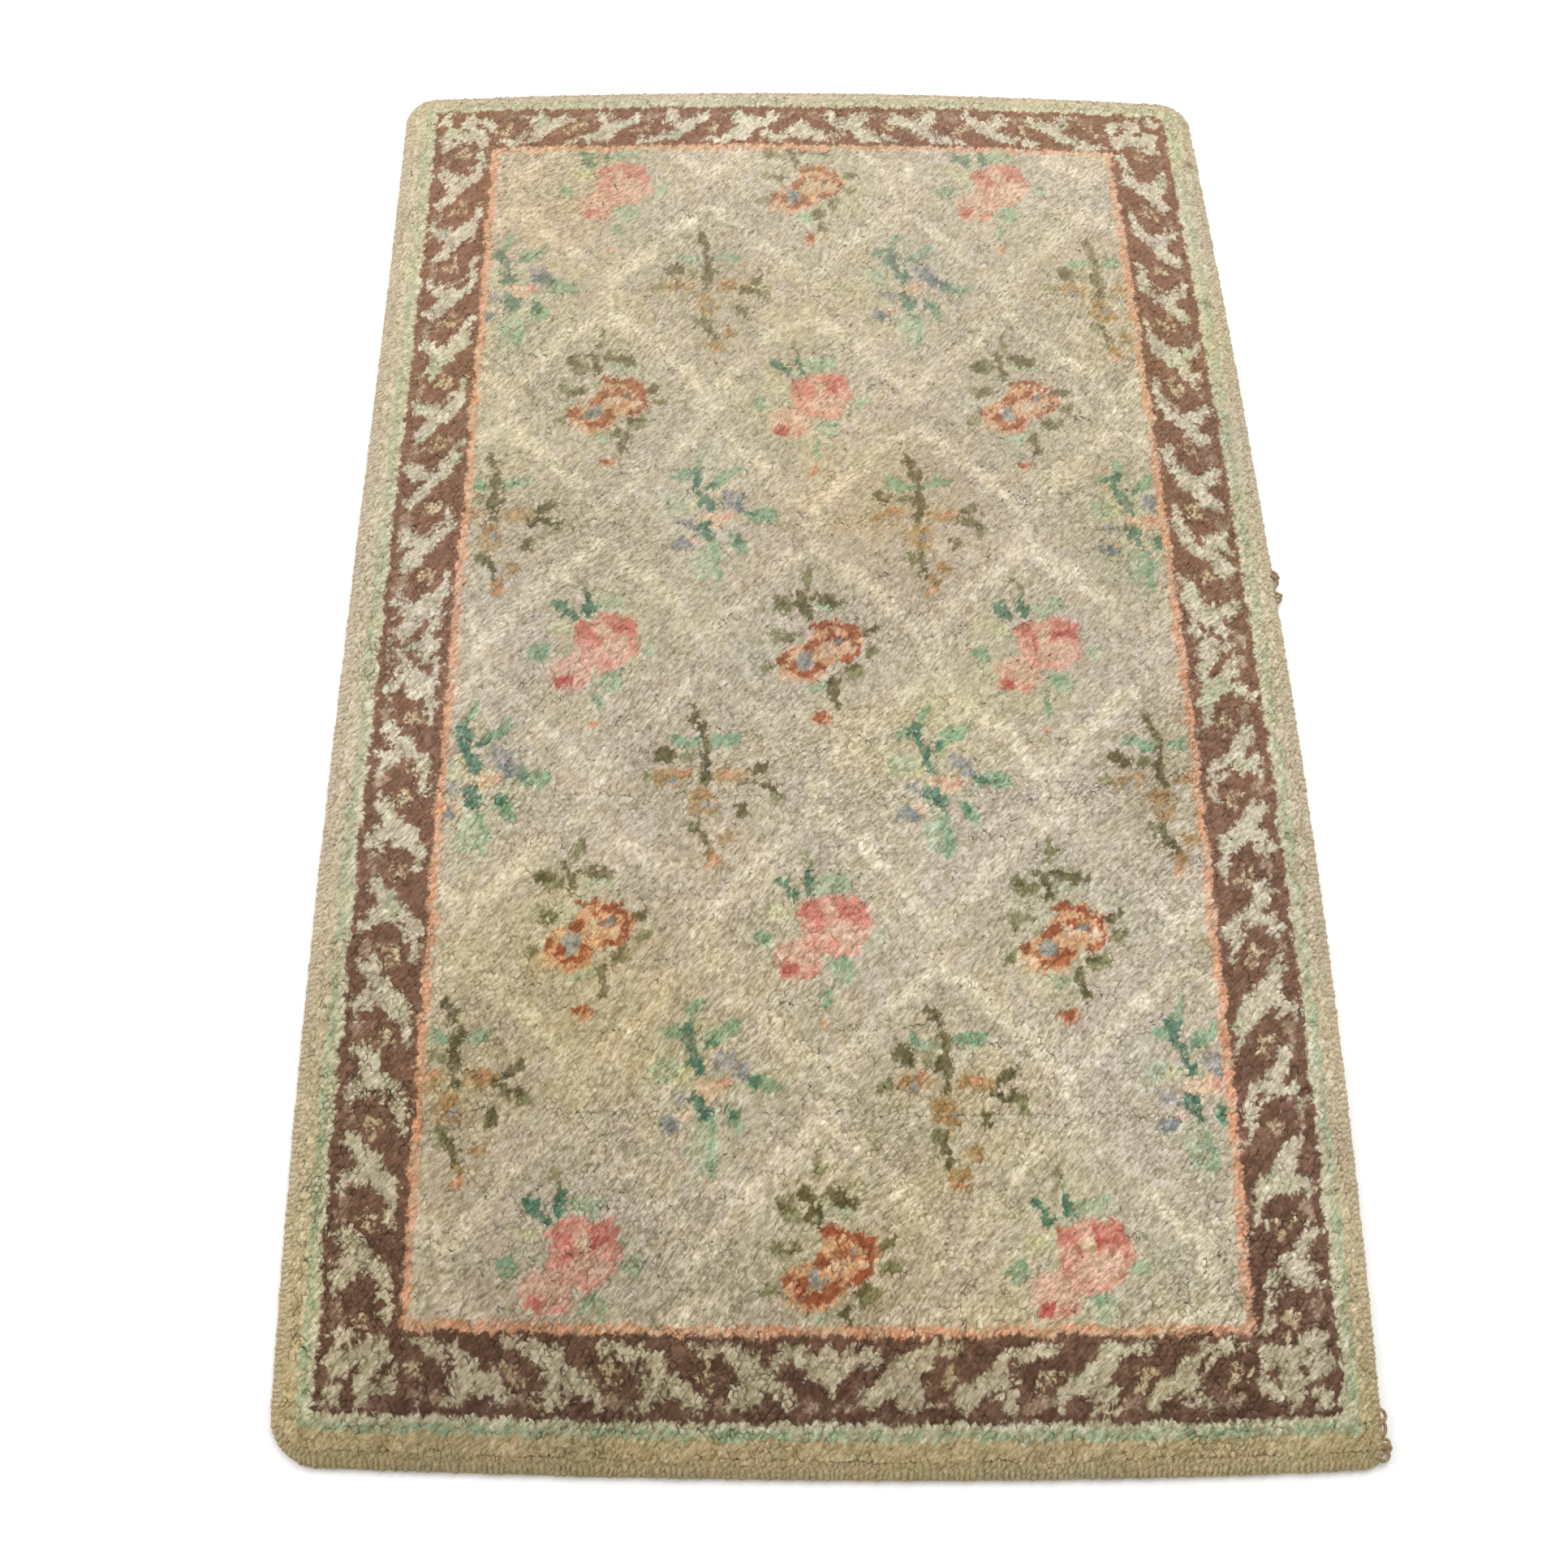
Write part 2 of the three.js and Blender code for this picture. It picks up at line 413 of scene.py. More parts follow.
OLIVE_SPRIG = (
    Oval(-7, 66, 17, 4.5, "olive", 116),
    Oval(-1, 43, 15, 4.5, "olive", 92),
    Oval(-20, 43, 15, 6.5, "green", -15),
    Oval(19, 44, 16, 6.5, "green", 6),
    Oval(-1, 21, 11.5, 7.5, "olive", 90),
    Oval(-16, 25, 6.5, 6.5, "olive green"),
    Oval(-37, 28, 10.5, 9, "olive", -20),
    Oval(-1, 4, 8.5, 5, "olive", 90),
    Oval(-30, 5, 18, 9, "tan", 5),
    Oval(-30, 7, 15, 6, "mustard", 8),
    Oval(-21, 9, 4.5, 3, "bud"),
    Oval(-31, 1, 4, 3.5, "grey"),
    Oval(-53, 4, 7.5, 5, "olive green"),
    Oval(24, 6, 18, 8, "tan"),
    Oval(23, 7, 11.5, 6, "mustard"),
    Oval(25, 9, 5, 3, "bud"),
    Oval(49, -3, 18, 5, "olive", -12),
    Oval(51, 15, 10.5, 5.5, "olive", 35),
    Oval(63, -14, 6.5, 4.5, "olive green", -20),
    Oval(-2, -21, 13, 17, "tan"),
    Oval(-4, -13, 8.5, 7.5, "mustard"),
    Oval(-1, -30, 10.5, 7.5, "mustard"),
    Oval(2, -22, 4, 4, "grey"),
    Oval(33, -28, 9.5, 6, "olive", 115),
    Oval(-11, -45, 5.5, 7.5, "olive green"),
    Oval(0, -57, 19, 4, "olive", 108),
    Oval(21, -57, 8.5, 6, "mustard", -20),
    Oval(8, -73, 6.5, 6.5, "mustard"),
    Oval(8, -85, 9, 5.5, "tan", 20),
    Oval(7, -84, 5, 3, "bud", 20),
)

SPRIGS = (ORANGE_SPRIG, PINK_SPRIG, OLIVE_SPRIG, BLUE_SPRIG)
ORANGE_KIND, PINK_KIND, OLIVE_KIND, BLUE_KIND = range(len(SPRIGS))

# Rows where the pile parts, by their place along the length and from where to where they run.
Crease = namedtuple("Crease", "y start end")
CREASES = (
    Crease(-138, 60, 330),
    Crease(-152, 120, 320),
    Crease(-126, -40, 90),
    Crease(-330, -300, -210),
    Crease(-520, 60, 150),
    Crease(210, -190, -60),
    Crease(330, 170, 290),
)
# Share of a crease's knots that part, and how wide they part at least.
CREASE_SHARE = 0.75
LEAST_CREASE = 0.4

# Uneven dye of the ground, of the border's leaves and of every yarn, and each knot's own.
WARM_BROAD = Patch(0.2, 0.2, 75, 3)
WARM_FINE = Patch(0, 0.35, 17, 4)
HAZE_PATCHES = Patch(-0.08, 0.25, 60, 6)
LAVENDER_PATCHES = Patch(-0.25, 0.7, 19, 7)
MINT_PATCHES = Patch(-0.25, 0.5, 15, 8)
DYE_BROAD = Patch(0.4, 0.35, 13, 5)
DYE_FINE = Patch(0, 0.25, 6, 9)
DYE_STRAY = 0.22
# The mint line's dye strays a little further, past a first part that it keeps.
MINT_STRAY = 1.1
MINT_KEPT = 0.05
# Halo of stray fibre round each sprig: how far it reaches in the diamond, its strength and its patches.
HALO_REACH = 0.9
HALO_SHARE = 0.65
HALO_PATCHES = Patch(0.7, 1.1, 12, 14)

# Yarns of the leaves and smaller flowers, which have worn until the ground shows among them.
WORN_PATCHES = Patch(-0.26, 0.45, 8, 10)
WORN_YARNS = (
    "dark green", "green", "pale green", "yellow green", "teal", "grey", "blue grey",
    "olive", "olive green", "tan", "mustard", "pale pink", "pale peach",
)

# The far end is paler than the near one: how much of the yarn is faded, by place along the length.
FADING_PLACES = (-750, -600, 0, 750)
BROWN_FADING = (0.0, 0.20, 0.70, 1.0)
RIM_FADING = (0.0, 0.45, 0.85, 0.9)
# Share of the rim's fading that the mint line has.
MINT_FADING = 0.5
LEAF_AGEING = (0.7, 0.35, 0.05, 0.0)
FLOWER_FADING = (0.0, 0.02, 0.06, 0.32)
# Light that the whole pile gives, by the same places, darkest at the near edge, with its patches, its
# yellowing and each knot's own.
END_LIGHT = (0.72, 0.935, 0.905, 0.965)
LIGHT_BROAD = Patch(0, 0.04, 160, 11)
LIGHT_FINE = Patch(0, 0.04, 45, 12)
YELLOWING = Patch(1, 0.05, 120, 13)
KNOT_LIGHT = 0.04
LEAST_LIGHT = 0.25
MOST_LIGHT = 1.6
# Yarns that fade as the flowers do.
FLOWER_YARNS = (
    "dark pink", "pink", "pale pink", "red", "peach", "pale peach", "rust", "bud", "salmon",
    "dark green", "green", "teal", "olive", "olive green", "mustard", "tan",
)

# Faded and soiled places, painted light on the near right of the field and a place darker at the near left:
# where, how far they reach, and the light they keep of red, green and blue.
StainAndLight = namedtuple("StainAndLight", "x y reach keep")
STAINS_AND_LIGHT = (
    StainAndLight(-190, -340, 120, (0.95, 0.90, 0.78)),
    StainAndLight(60, 180, 110, (0.95, 0.90, 0.80)),
    StainAndLight(-300, 560, 90, (1.0, 0.93, 0.82)),
    StainAndLight(40, -590, 120, (0.97, 0.93, 0.84)),
    StainAndLight(-320, -610, 120, (0.97, 0.94, 0.87)),
    # A broad place darker at the near left.
    StainAndLight(-180, -620, 190, (0.79, 0.78, 0.77)),
    # Painted light on the near right of the field, which is lit brighter.
    StainAndLight(210, -300, 220, (1.09, 1.1, 1.12)),
    StainAndLight(437, 648, 5, (0.45, 0.4, 0.4)),
    StainAndLight(427, 442, 5, (0.5, 0.45, 0.45)),
)

# Rings of points round the rolled rim, from under the pile down to the floor: how far in and how high
# each lies, which way it swells in degrees from upright, how much, its row of knots, and the light it keeps,
# which is painted shade under the pile, in the crease between the rows and towards the floor.
RimRing = namedtuple("RimRing", "inset height lean swell row light")
RIM_RINGS = (
    RimRing(15.5, 11.0, 0, 0.0, 0, 0.90),
    RimRing(12.6, 12.2, 25, 0.8, 0, 1.00),
    RimRing(9.6, 11.4, 35, 0.15, 0, 0.92),
    RimRing(7.4, 10.6, 45, 0.9, 1, 1.00),
    RimRing(5.2, 9.3, 55, 1.0, 1, 1.00),
    RimRing(3.3, 7.5, 60, 1.0, 1, 1.00),
    RimRing(1.7, 5.4, 75, 1.0, 1, 1.00),
    RimRing(1.0, 3.3, 90, 0.9, 1, 0.95),
    RimRing(1.2, 1.5, 100, 0.6, 1, 0.90),
    RimRing(2.6, 0.3, 120, 0.0, 1, 0.50),
    RimRing(15.5, 4.0, 180, 0.0, 1, 0.40),
)
# Pitch of the ribs along the edge, the points across each, and how full it is and what light it keeps there:
# painted shade in the groove between ribs and painted light on their crests.
RIB_PITCH = 4.8
RIB_STEPS = 4
RIB_FULLNESS = (0.0, 0.8, 1.0, 0.8)
RIB_LIGHT = (0.70, 0.97, 1.05, 0.97)
RIB_SWELL = 1.2
# The feet of the outermost knots, below this height, are ochre.
OCHRE_HEIGHT = 2.0
OCHRE_SHARE = 0.7
# Ribs differ in how full they are, how they slant about their middle height, and how each row wanders.
RIB_SPREAD = (0.35, 1.5)
RIB_SLANT = 0.14
RIB_MIDDLE = 5
LOWEST_RIB = 0.2
RIB_SEED = 80
RIB_WANDER = (Patch(0, 1.6, 11, 82), Patch(0, 1.6, 11, 83))

# Loose loops of yarn at the right edge: where each lies along the edge, how wide it is, how far it stands
# out, and how high it starts and ends.
LooseLoop = namedtuple("LooseLoop", "along width reach start end")
LOOSE_LOOPS = (
    LooseLoop(104, 5.0, 3.0, 9.0, 4.0),
    LooseLoop(101, 3.0, 4.5, 4.0, 7.0),
    LooseLoop(94, 6.0, 2.0, 6.0, 10.0),
    LooseLoop(80, 3.5, 4.5, 8.0, 3.0),
    LooseLoop(76, 5.5, 3.0, 4.0, 9.0),
    LooseLoop(-706, 6.0, 2.5, 9.0, 5.0),
    LooseLoop(-716, 7.0, 2.0, 4.0, 8.0),
    LooseLoop(-727, 4.0, 4.0, 9.0, 4.0),
    LooseLoop(-731, 3.0, 5.5, 3.0, 6.0),
    LooseLoop(-736, 5.0, 3.5, 6.0, 2.5),
)
# How far in from the edge a loop's ends are rooted, and the radius of its yarn.
LOOP_ROOT = 4.0
LOOP_RADIUS = 1.5

# Section of the woven ground, ring by ring from its underside to the middle, and the step along its edge.
MatRing = namedtuple("MatRing", "inset height")
MAT_SECTION = (
    MatRing(5.0, 0.0),
    MatRing(3.5, 1.2),
    MatRing(6.0, 3.6),
    MatRing(14.0, 6.4),
    MatRing(26.0, 8.0),
    MatRing(120.0, 8.0),
    MatRing(300.0, 8.0),
)
MAT_PITCH = 8.0
# Rings further in than this are drawn towards the middle rather than square to the outline.
SHRINK_INSET = 30

# Usual spread of a noise.
NOISE_LOW = 0.35
NOISE_HIGH = 0.65
# Fibres of the pile: how drawn out and how fine they are, and how broad the patches that are combed across.
FIBRE_STRETCH = (2.9, 1, 1)
FIBRE_FINENESS = 470
FIBRE_DETAIL = 1.5
CROSS_FINENESS = 4
CROSS_DETAIL = 1
# Light that the hollows between the fibres keep of the yarn's red, green and blue, as painted shade, and that
# their tips give, as painted light.
FIBRE_DARK = (0.70, 0.68, 0.60)
FIBRE_LIGHT = (1.28, 1.31, 1.42)
FIBRE_BUMP = 0.8
FIBRE_DEPTH = 0.004
WOOL_ROUGHNESS = (0.86, 1.0)
WOOL_SHINE = 0.15
WOOL_SHEEN = 0.12
WOOL_SHEEN_SPREAD = 0.6
# Back of the rug: the gap between its loops, its colours, and its fibres.
LOOP_GAP = 0.9
LOOP_COLOUR = (178, 162, 128)
DARK_LOOP_COLOUR = (160, 142, 108)
GAP_COLOUR = (110, 96, 72)
WEAVE_FINENESS = 400
WEAVE_DETAIL = 3
WEAVE_LIGHT = (0.8, 1.15)
WEAVE_BUMP = 0.8
WEAVE_DEPTH = 0.002
WEAVE_ROUGHNESS = (0.9, 1.0)
# The floor, which lies a hair below the rug.
FLOOR_COLOUR = (0.97, 0.97, 0.97, 1)
FLOOR_ROUGHNESS = (0.55, 0.65)
FLOOR_FINENESS = 3
FLOOR_DETAIL = 2
FLOOR_REACH = 6.0
FLOOR_DROP = 0.0003

# Camera, lamps and the light of the room.
CAMERA_PLACE = (-0.0637, -0.9526, 1.6196)
CAMERA_TURN = (0.46814, -0.01511, -0.00723)
SENSOR_WIDTH = 36.0
LENS = 43.79
STUDIO_COLOUR = (1, 0.99, 0.97, 1)
STUDIO_STRENGTH = 0.72
Lamp = namedtuple("Lamp", "name place size power")
LAMPS = (
    Lamp("key", (0.9, 1.0, 2.8), 2.0, 44),
    Lamp("fill", (-2.2, 0.2, 1.7), 2.2, 24),
)


# Plan

def bowed(edge, t):
    return edge.bow * (1 - t * t) * (1 + edge.shift * t)


def mixed(start, end, share):
    return start + (end - start) * share


def laid(a, b):
    """Carries points of the plain rectangle onto the bowed rug, before it is centred."""
    u = a / HALF_WIDTH
    v = b / HALF_LENGTH
    across = (u + 1) / 2
    along = (v + 1) / 2
    left = mixed(NEAR_LEFT.x, FAR_LEFT.x, along) - bowed(LEFT_EDGE, v)
    right = mixed(NEAR_RIGHT.x, FAR_RIGHT.x, along) + bowed(RIGHT_EDGE, v)
    near = mixed(NEAR_LEFT.y, NEAR_RIGHT.y, across) - bowed(NEAR_EDGE, u)
    far = mixed(FAR_LEFT.y, FAR_RIGHT.y, across) + bowed(FAR_EDGE, u)
    return np.stack([mixed(left, right, across), mixed(near, far, along)], -1)


def corner_radius(a, b):
    near = np.where(a < 0, NEAR_LEFT.radius, NEAR_RIGHT.radius)
    far = np.where(a < 0, FAR_LEFT.radius, FAR_RIGHT.radius)
    return np.where(b < 0, near, far)


def inset_of(a, b):
    """How far a point of the plain rectangle lies inside its rounded outline."""
    radius = corner_radius(a, b)
    side = HALF_WIDTH - np.abs(a)
    end = HALF_LENGTH - np.abs(b)
    rounded = radius - np.hypot(radius - side, radius - end)
    in_corner = (side < radius) & (end < radius)
    return np.where(in_corner, rounded, np.minimum(side, end))


def outward_of(a, b):
    """Unit direction towards the nearest edge."""
    step = 0.5
    shortest = 1e-6
    da = inset_of(a - step, b) - inset_of(a + step, b)
    db = inset_of(a, b - step) - inset_of(a, b + step)
    length = np.maximum(np.hypot(da, db), shortest)
    return da / length, db / length


def ring(inset, pitch, steps=1):
    """Points round the plain rectangle at an inset from its outline, in even steps of each pitch."""
    arc_steps = 24
    sharpest = 1.5
    turns = (
        (NEAR_LEFT, -1, -1, math.pi),
        (NEAR_RIGHT, 1, -1, -math.pi / 2),
        (FAR_RIGHT, 1, 1, 0.0),
        (FAR_LEFT, -1, 1, math.pi / 2),
    )
    path = []
    for corner, sx, sy, start in turns:
        radius = max(corner.radius - inset, sharpest)
        x = sx * (HALF_WIDTH - inset - radius)
        y = sy * (HALF_LENGTH - inset - radius)
        for i in range(arc_steps + 1):
            angle = start + i / arc_steps * math.pi / 2
            path.append((x + radius * math.cos(angle), y + radius * math.sin(angle)))
    path.append(path[0])
    path = np.array(path)
    length = np.concatenate([[0], np.cumsum(np.hypot(*np.diff(path, axis=0).T))])
    count = steps * int(round(length[-1] / pitch))
    at = np.arange(count) * length[-1] / count
    return np.interp(at, length, path[:, 0]), np.interp(at, length, path[:, 1])


OUTLINE_PITCH = 4.0
outline = laid(*ring(0, OUTLINE_PITCH))
MIDDLE = (outline.min(0) + outline.max(0)) / 2


def placed(a, b):
    """Plan place in the rug's own frame, in millimetres."""
    return laid(a, b) - MIDDLE


# Unevenness

def eased(share):
    return share * share * (3 - 2 * share)


def turned(x, y, turn):
    """Places along and across a direction, which is in radians."""
    return x * math.cos(turn) + y * math.sin(turn), y * math.cos(turn) - x * math.sin(turn)


def drift(x, y, size, seed):
    """Smooth uneven field from about -1 to 1, with soft patches of that size."""
    cells = 211
    gain = 1.5
    own = np.random.default_rng(seed)
    table = own.uniform(-1, 1, (cells, cells))
    along, across = turned(x, y, own.uniform(0, 2 * math.pi))
    u, v = along / size, across / size
    i, j = np.floor(u).astype(int), np.floor(v).astype(int)
    next_i, next_j = (i + 1) % cells, (j + 1) % cells
    s, t = eased(u - i), eased(v - j)
    i, j = i % cells, j % cells
    low = mixed(table[i, j], table[next_i, j], s)
    high = mixed(table[i, next_j], table[next_i, next_j], s)
    return gain * mixed(low, high, t)


def patchy(x, y, *patches):
    """Sum of some kinds of patches at each point."""
    return sum(patch.mean + patch.stray * drift(x, y, patch.size, patch.seed) for patch in patches)


def wandered(x, y, patch):
    """Points that have strayed from their places, each way by patches of its own."""
    return x + patchy(x, y, patch), y + patchy(x, y, patch._replace(seed=patch.seed + 1))


def streaks(a, b, degrees, seed):
    """Narrow uneven streaks that run along that direction."""
    along, across = turned(a, b, math.radians(degrees))
    return drift(along / STREAK_STRETCH, across, STREAK_SIZE, seed)


# Design

def paint_ovals(tone, x, y, ovals, where):
    for oval in ovals:
        along, across = turned(x - oval.x, y - oval.y, math.radians(oval.turn))
        inside = (along / oval.long) ** 2 + (across / oval.wide) ** 2 < 1
        tone[inside & where] = yarn(oval.yarn)


def lattice_cells(x, y, offset):
    """Offset of each point from the nearest middle of one lattice, and whether that middle is an even one."""
    u = x / (2 * SPRIG_ACROSS) - offset
    v = (y - LATTICE_MIDDLE) / (2 * SPRIG_ALONG) - offset
    i, j = np.round(u), np.round(v)
    return (u - i) * 2 * SPRIG_ACROSS, (v - j) * 2 * SPRIG_ALONG, (i + j) % 2 == 0


def sprig_cells(x, y):
    """Offset of each knot from its sprig's middle, the sprig's kind, and how far out in its diamond it is."""
    main_dx, main_dy, main_even = lattice_cells(x, y, MAIN_LATTICE)
    side_dx, side_dy, side_even = lattice_cells(x, y, SIDE_LATTICE)
    main_reach = np.abs(main_dx) / SPRIG_ACROSS + np.abs(main_dy) / SPRIG_ALONG
    side_reach = np.abs(side_dx) / SPRIG_ACROSS + np.abs(side_dy) / SPRIG_ALONG
    main = main_reach <= side_reach
    main_kind = np.where(main_even, ORANGE_KIND, PINK_KIND)
    side_kind = np.where(side_even, OLIVE_KIND, BLUE_KIND)
    dx = np.where(main, main_dx, side_dx)
    dy = np.where(main, main_dy, side_dy)
    return dx, dy, np.where(main, main_kind, side_kind), np.minimum(main_reach, side_reach)


def arch_share(dx, dy, half_width):
    """How much of a sprig's arch is in each knot: two strokes that rise from beside it and meet above it."""
    share = np.abs(dx) / ARCH_REACH
    drop = ARCH_TOP - ARCH_FOOT
    off = np.abs(dy - ARCH_TOP + drop * share ** ARCH_CURVE)
    slope = drop * ARCH_CURVE / ARCH_REACH * share ** (ARCH_CURVE - 1)
    off = off / np.hypot(1, slope)
    stroke = np.clip((half_width - off) / ARCH_SOFT + 0.5, 0, 1)
    return stroke * np.clip((ARCH_END - share) / ARCH_END_SOFT, 0, 1)


def trellis_share(x, y):
    """How much of the trellis's cream is in each knot: an arch over every sprig, and a cluster of patches
    where the feet of two arches meet."""
    wavy_x, wavy_y = wandered(x, y, TRELLIS_WANDER)
    half_width = patchy(x, y, TRELLIS_WIDTH, TRELLIS_RAGGED)
    total = np.zeros_like(x)
    for offset in (MAIN_LATTICE, SIDE_LATTICE):
        dx, dy, _ = lattice_cells(wavy_x, wavy_y, offset)
        total = np.maximum(total, arch_share(dx, dy, half_width))
        across = (SPRIG_ACROSS - np.abs(dx)) / CLUSTER_ACROSS
        along = np.abs(dy + CLUSTER_DROP) / CLUSTER_ALONG
        cluster = np.clip(2 - 2 * (across + along), 0, 1)
        total = np.maximum(total, cluster * np.clip(patchy(x, y, CLUSTER_PATCHES), 0, 1))
    return total * np.clip(patchy(x, y, TRELLIS_WEAR), 0, 1)


def paint_sprigs(tone, x, y, where):
    dx, dy, kind, _ = sprig_cells(x, y)
    for k, ovals in enumerate(SPRIGS):
        paint_ovals(tone, dx, dy, ovals, where & (kind == k))


def paint_border(tone, x, y, where):
    """Brown ground, scrolls, the leaf at the middle of each side and the corner rosettes."""
    left, right, near, far = border_depths(x, y)
    tone[where] = yarn("brown")
    side = np.minimum(left, right)
    end = np.minimum(near, far)
    corner = where & (side < BAND_WIDTH) & (end < BAND_WIDTH)
    turn = math.radians(LEAF_TURN)
    runs = (
        (END_RUN, np.abs(x), end, end < side),
        (SIDE_RUN, np.abs(y - LATTICE_MIDDLE), side, side <= end),
    )
    for run, away, depth, mine in runs:
        mine = mine & where
        pull = LEAF_PULL * streaks(-away, depth, LEAF_TURN, LEAF_SEED)
        away = away - pull * math.cos(turn)
        depth = depth + pull * math.sin(turn)
        for unit in range(run.count):
            eye = run.start + unit * run.pitch
            near_unit = mine & (np.abs(away - eye + run.pitch / 2) < run.pitch * SCROLL_REACH)
            paint_ovals(tone, eye - away, depth, SCROLL, near_unit)
            if unit % 2:
                paint_ovals(tone, eye - away, depth, VEIN, near_unit)
        paint_ovals(tone, away, depth, MIDDLE_LEAF, mine & (away < run.pitch))
    paint_ovals(tone, side, end, ROSETTE, corner)


def border_depths(x, y):
    """How far in from the border's outer line each point is, from the left, right, near and far edges."""
    insets = (x + HALF_WIDTH, HALF_WIDTH - x, y + HALF_LENGTH, HALF_LENGTH - y)
    return [(inset - band.inset) * BAND_WIDTH / band.width for inset, band in zip(insets, BANDS)]


def border_depth(x, y):
    """How far in from the border's outer line each point is, from the nearest edge."""
    return np.minimum.reduce(border_depths(x, y))


def yarn_tones(x, y):
    """Yarn at each point, before any tint."""
    turn = math.radians(COMB_TURN)
    pulled = COLOUR_PULL * streaks(x, y, COMB_TURN, PULL_SEED)
    ragged_x, ragged_y = wandered(x, y, RAGGED)
    ragged_x = ragged_x + pulled * math.cos(turn)
    ragged_y = ragged_y + pulled * math.sin(turn)
    depth = border_depth(mixed(x, ragged_x, LINE_SHARE), mixed(y, ragged_y, LINE_SHARE))
    tone = np.full(len(x), yarn("field"))
    field = depth > BAND_WIDTH + SALMON_WIDTH
    paint_sprigs(tone, ragged_x, ragged_y, field)
    tone[(depth > BAND_WIDTH) & ~field] = yarn("salmon")
    paint_border(tone, ragged_x, ragged_y, (depth >= 0) & (depth <= BAND_WIDTH))
    tone[depth < 0] = yarn("rim cream")
    tone[depth < -CREAM_END] = yarn("mint")
    tone[depth < -MINT_END] = yarn("rim")
    return tone


def tinted(light, name, share):
    return mixed(light, YARN_LIGHT[yarn(name)], np.clip(share, 0, 1)[:, None])


def along_rug(y, shares):
    return np.interp(y, FADING_PLACES, shares)


def ground_colours(light, x, y):
    """Mottled ground of the field, with its trellis."""
    ground = tinted(light, "warm", patchy(x, y, WARM_BROAD, WARM_FINE))
    ground = tinted(ground, "haze", patchy(x, y, HAZE_PATCHES))
    _, _, kind, reach = sprig_cells(x, y)
    halo = HALO_SHARE * np.clip(HALO_REACH - reach, 0, 1) * np.clip(patchy(x, y, HALO_PATCHES), 0, 1)
    ground = tinted(ground, "aged", np.where(kind == OLIVE_KIND, halo, 0))
    ground = tinted(ground, "haze", np.where(kind == OLIVE_KIND, 0, halo))
    return tinted(ground, "trellis", trellis_share(x, y))


def leaf_colours(light, x, y):
    """Cream leaves of the border, of uneven dye."""
    leaf = tinted(light, "lavender", patchy(x, y, LAVENDER_PATCHES))
    leaf = tinted(leaf, "mint", patchy(x, y, MINT_PATCHES))
    return tinted(leaf, "aged", along_rug(y, LEAF_AGEING))


def yarn_colours(x, y, number):
    """Linear colour of the yarn at each point, which belongs to the knot of that number."""
    tone = yarn_tones(x, y)
    own_stray = rng.normal(0, DYE_STRAY, number.max() + 1)[number]
    blend = patchy(x, y, DYE_BROAD, DYE_FINE) + own_stray
    blend = np.where(tone == yarn("mint"), MINT_STRAY * blend - MINT_KEPT, blend)
    light = mixed(YARN_LIGHT[tone], STRAY_LIGHT[tone], np.clip(blend, 0, 1)[:, None])

    def on(names, changed):
        mine = np.isin(tone, [yarn(name) for name in names])
        return np.where(mine[:, None], changed, light)

    light = on(("field",), ground_colours(light, x, y))
    light = on(("scroll",), leaf_colours(light, x, y))
    light = on(WORN_YARNS, tinted(light, "field", patchy(x, y, WORN_PATCHES)))
    light = on(("brown",), tinted(light, "far brown", along_rug(y, BROWN_FADING)))
    light = on(("rim",), tinted(light, "far rim", along_rug(y, RIM_FADING)))
    light = on(("mint",), tinted(light, "far rim", MINT_FADING * along_rug(y, RIM_FADING)))
    light = on(FLOWER_YARNS, tinted(light, "faded", along_rug(y, FLOWER_FADING)))
    return light * ageing(x, y, number)


def ageing(x, y, number):
    """Uneven fading, soiling and dye lots, a darker near edge and near left, and painted light on the near
    right of the field, as a factor on the yarn's light.
    """
    shade = along_rug(y, END_LIGHT) + patchy(x, y, LIGHT_BROAD, LIGHT_FINE)
    shade = shade * (1 + rng.normal(0, KNOT_LIGHT, number.max() + 1)[number])
    factor = np.repeat(shade[:, None], 3, 1)
    factor[:, 2] *= patchy(x, y, YELLOWING)
    for stain_and_light in STAINS_AND_LIGHT:
        near = np.exp(-((x - stain_and_light.x) ** 2 + (y - stain_and_light.y) ** 2) / stain_and_light.reach ** 2)
        factor *= 1 - near[:, None] * (1 - np.array(stain_and_light.keep))
    return np.clip(factor, LEAST_LIGHT, MOST_LIGHT)


# Meshes

def linked(name, data):
    made = bpy.data.objects.new(name, data)
    bpy.context.collection.objects.link(made)
    return made


def mesh_object(name, points, faces, material):
    """Joined mesh of triangles from arrays, in millimetres."""
    mesh = bpy.data.meshes.new(name)
    mesh.vertices.add(len(points))
    mesh.vertices.foreach_set("co", (np.asarray(points) * MM).ravel().astype(np.float32))
    mesh.loops.add(faces.size)
    mesh.loops.foreach_set("vertex_index", faces.ravel().astype(np.int32))
    mesh.polygons.add(len(faces))
    mesh.polygons.foreach_set("loop_start", np.arange(0, faces.size, 3, dtype=np.int32))
    mesh.polygons.foreach_set("loop_total", np.full(len(faces), 3, dtype=np.int32))
    mesh.polygons.foreach_set("use_smooth", np.ones(len(faces), dtype=bool))
    mesh.update(calc_edges=True)
    mesh.validate()
    mesh.materials.append(material)
    return linked(name, mesh)


def quads(a, b, c, d):
    """Two triangles for each four-sided face, from its corners in turn."""
    return np.concatenate([np.stack([a, b, c], 1), np.stack([a, c, d], 1)])


def spots(u, v):
    """Places on a map."""
    return np.stack(np.broadcast_arrays(u, v), -1)


def give_colour(piece, light):
    colour = np.column_stack([light, np.ones(len(light))])
    # Holds the yarn's colour together with the painted light and shade that the pile and rim carry.
    layer = piece.data.color_attributes.new("yarn", "FLOAT_COLOR", "POINT")
    layer.data.foreach_set("color", colour.ravel().astype(np.float32))


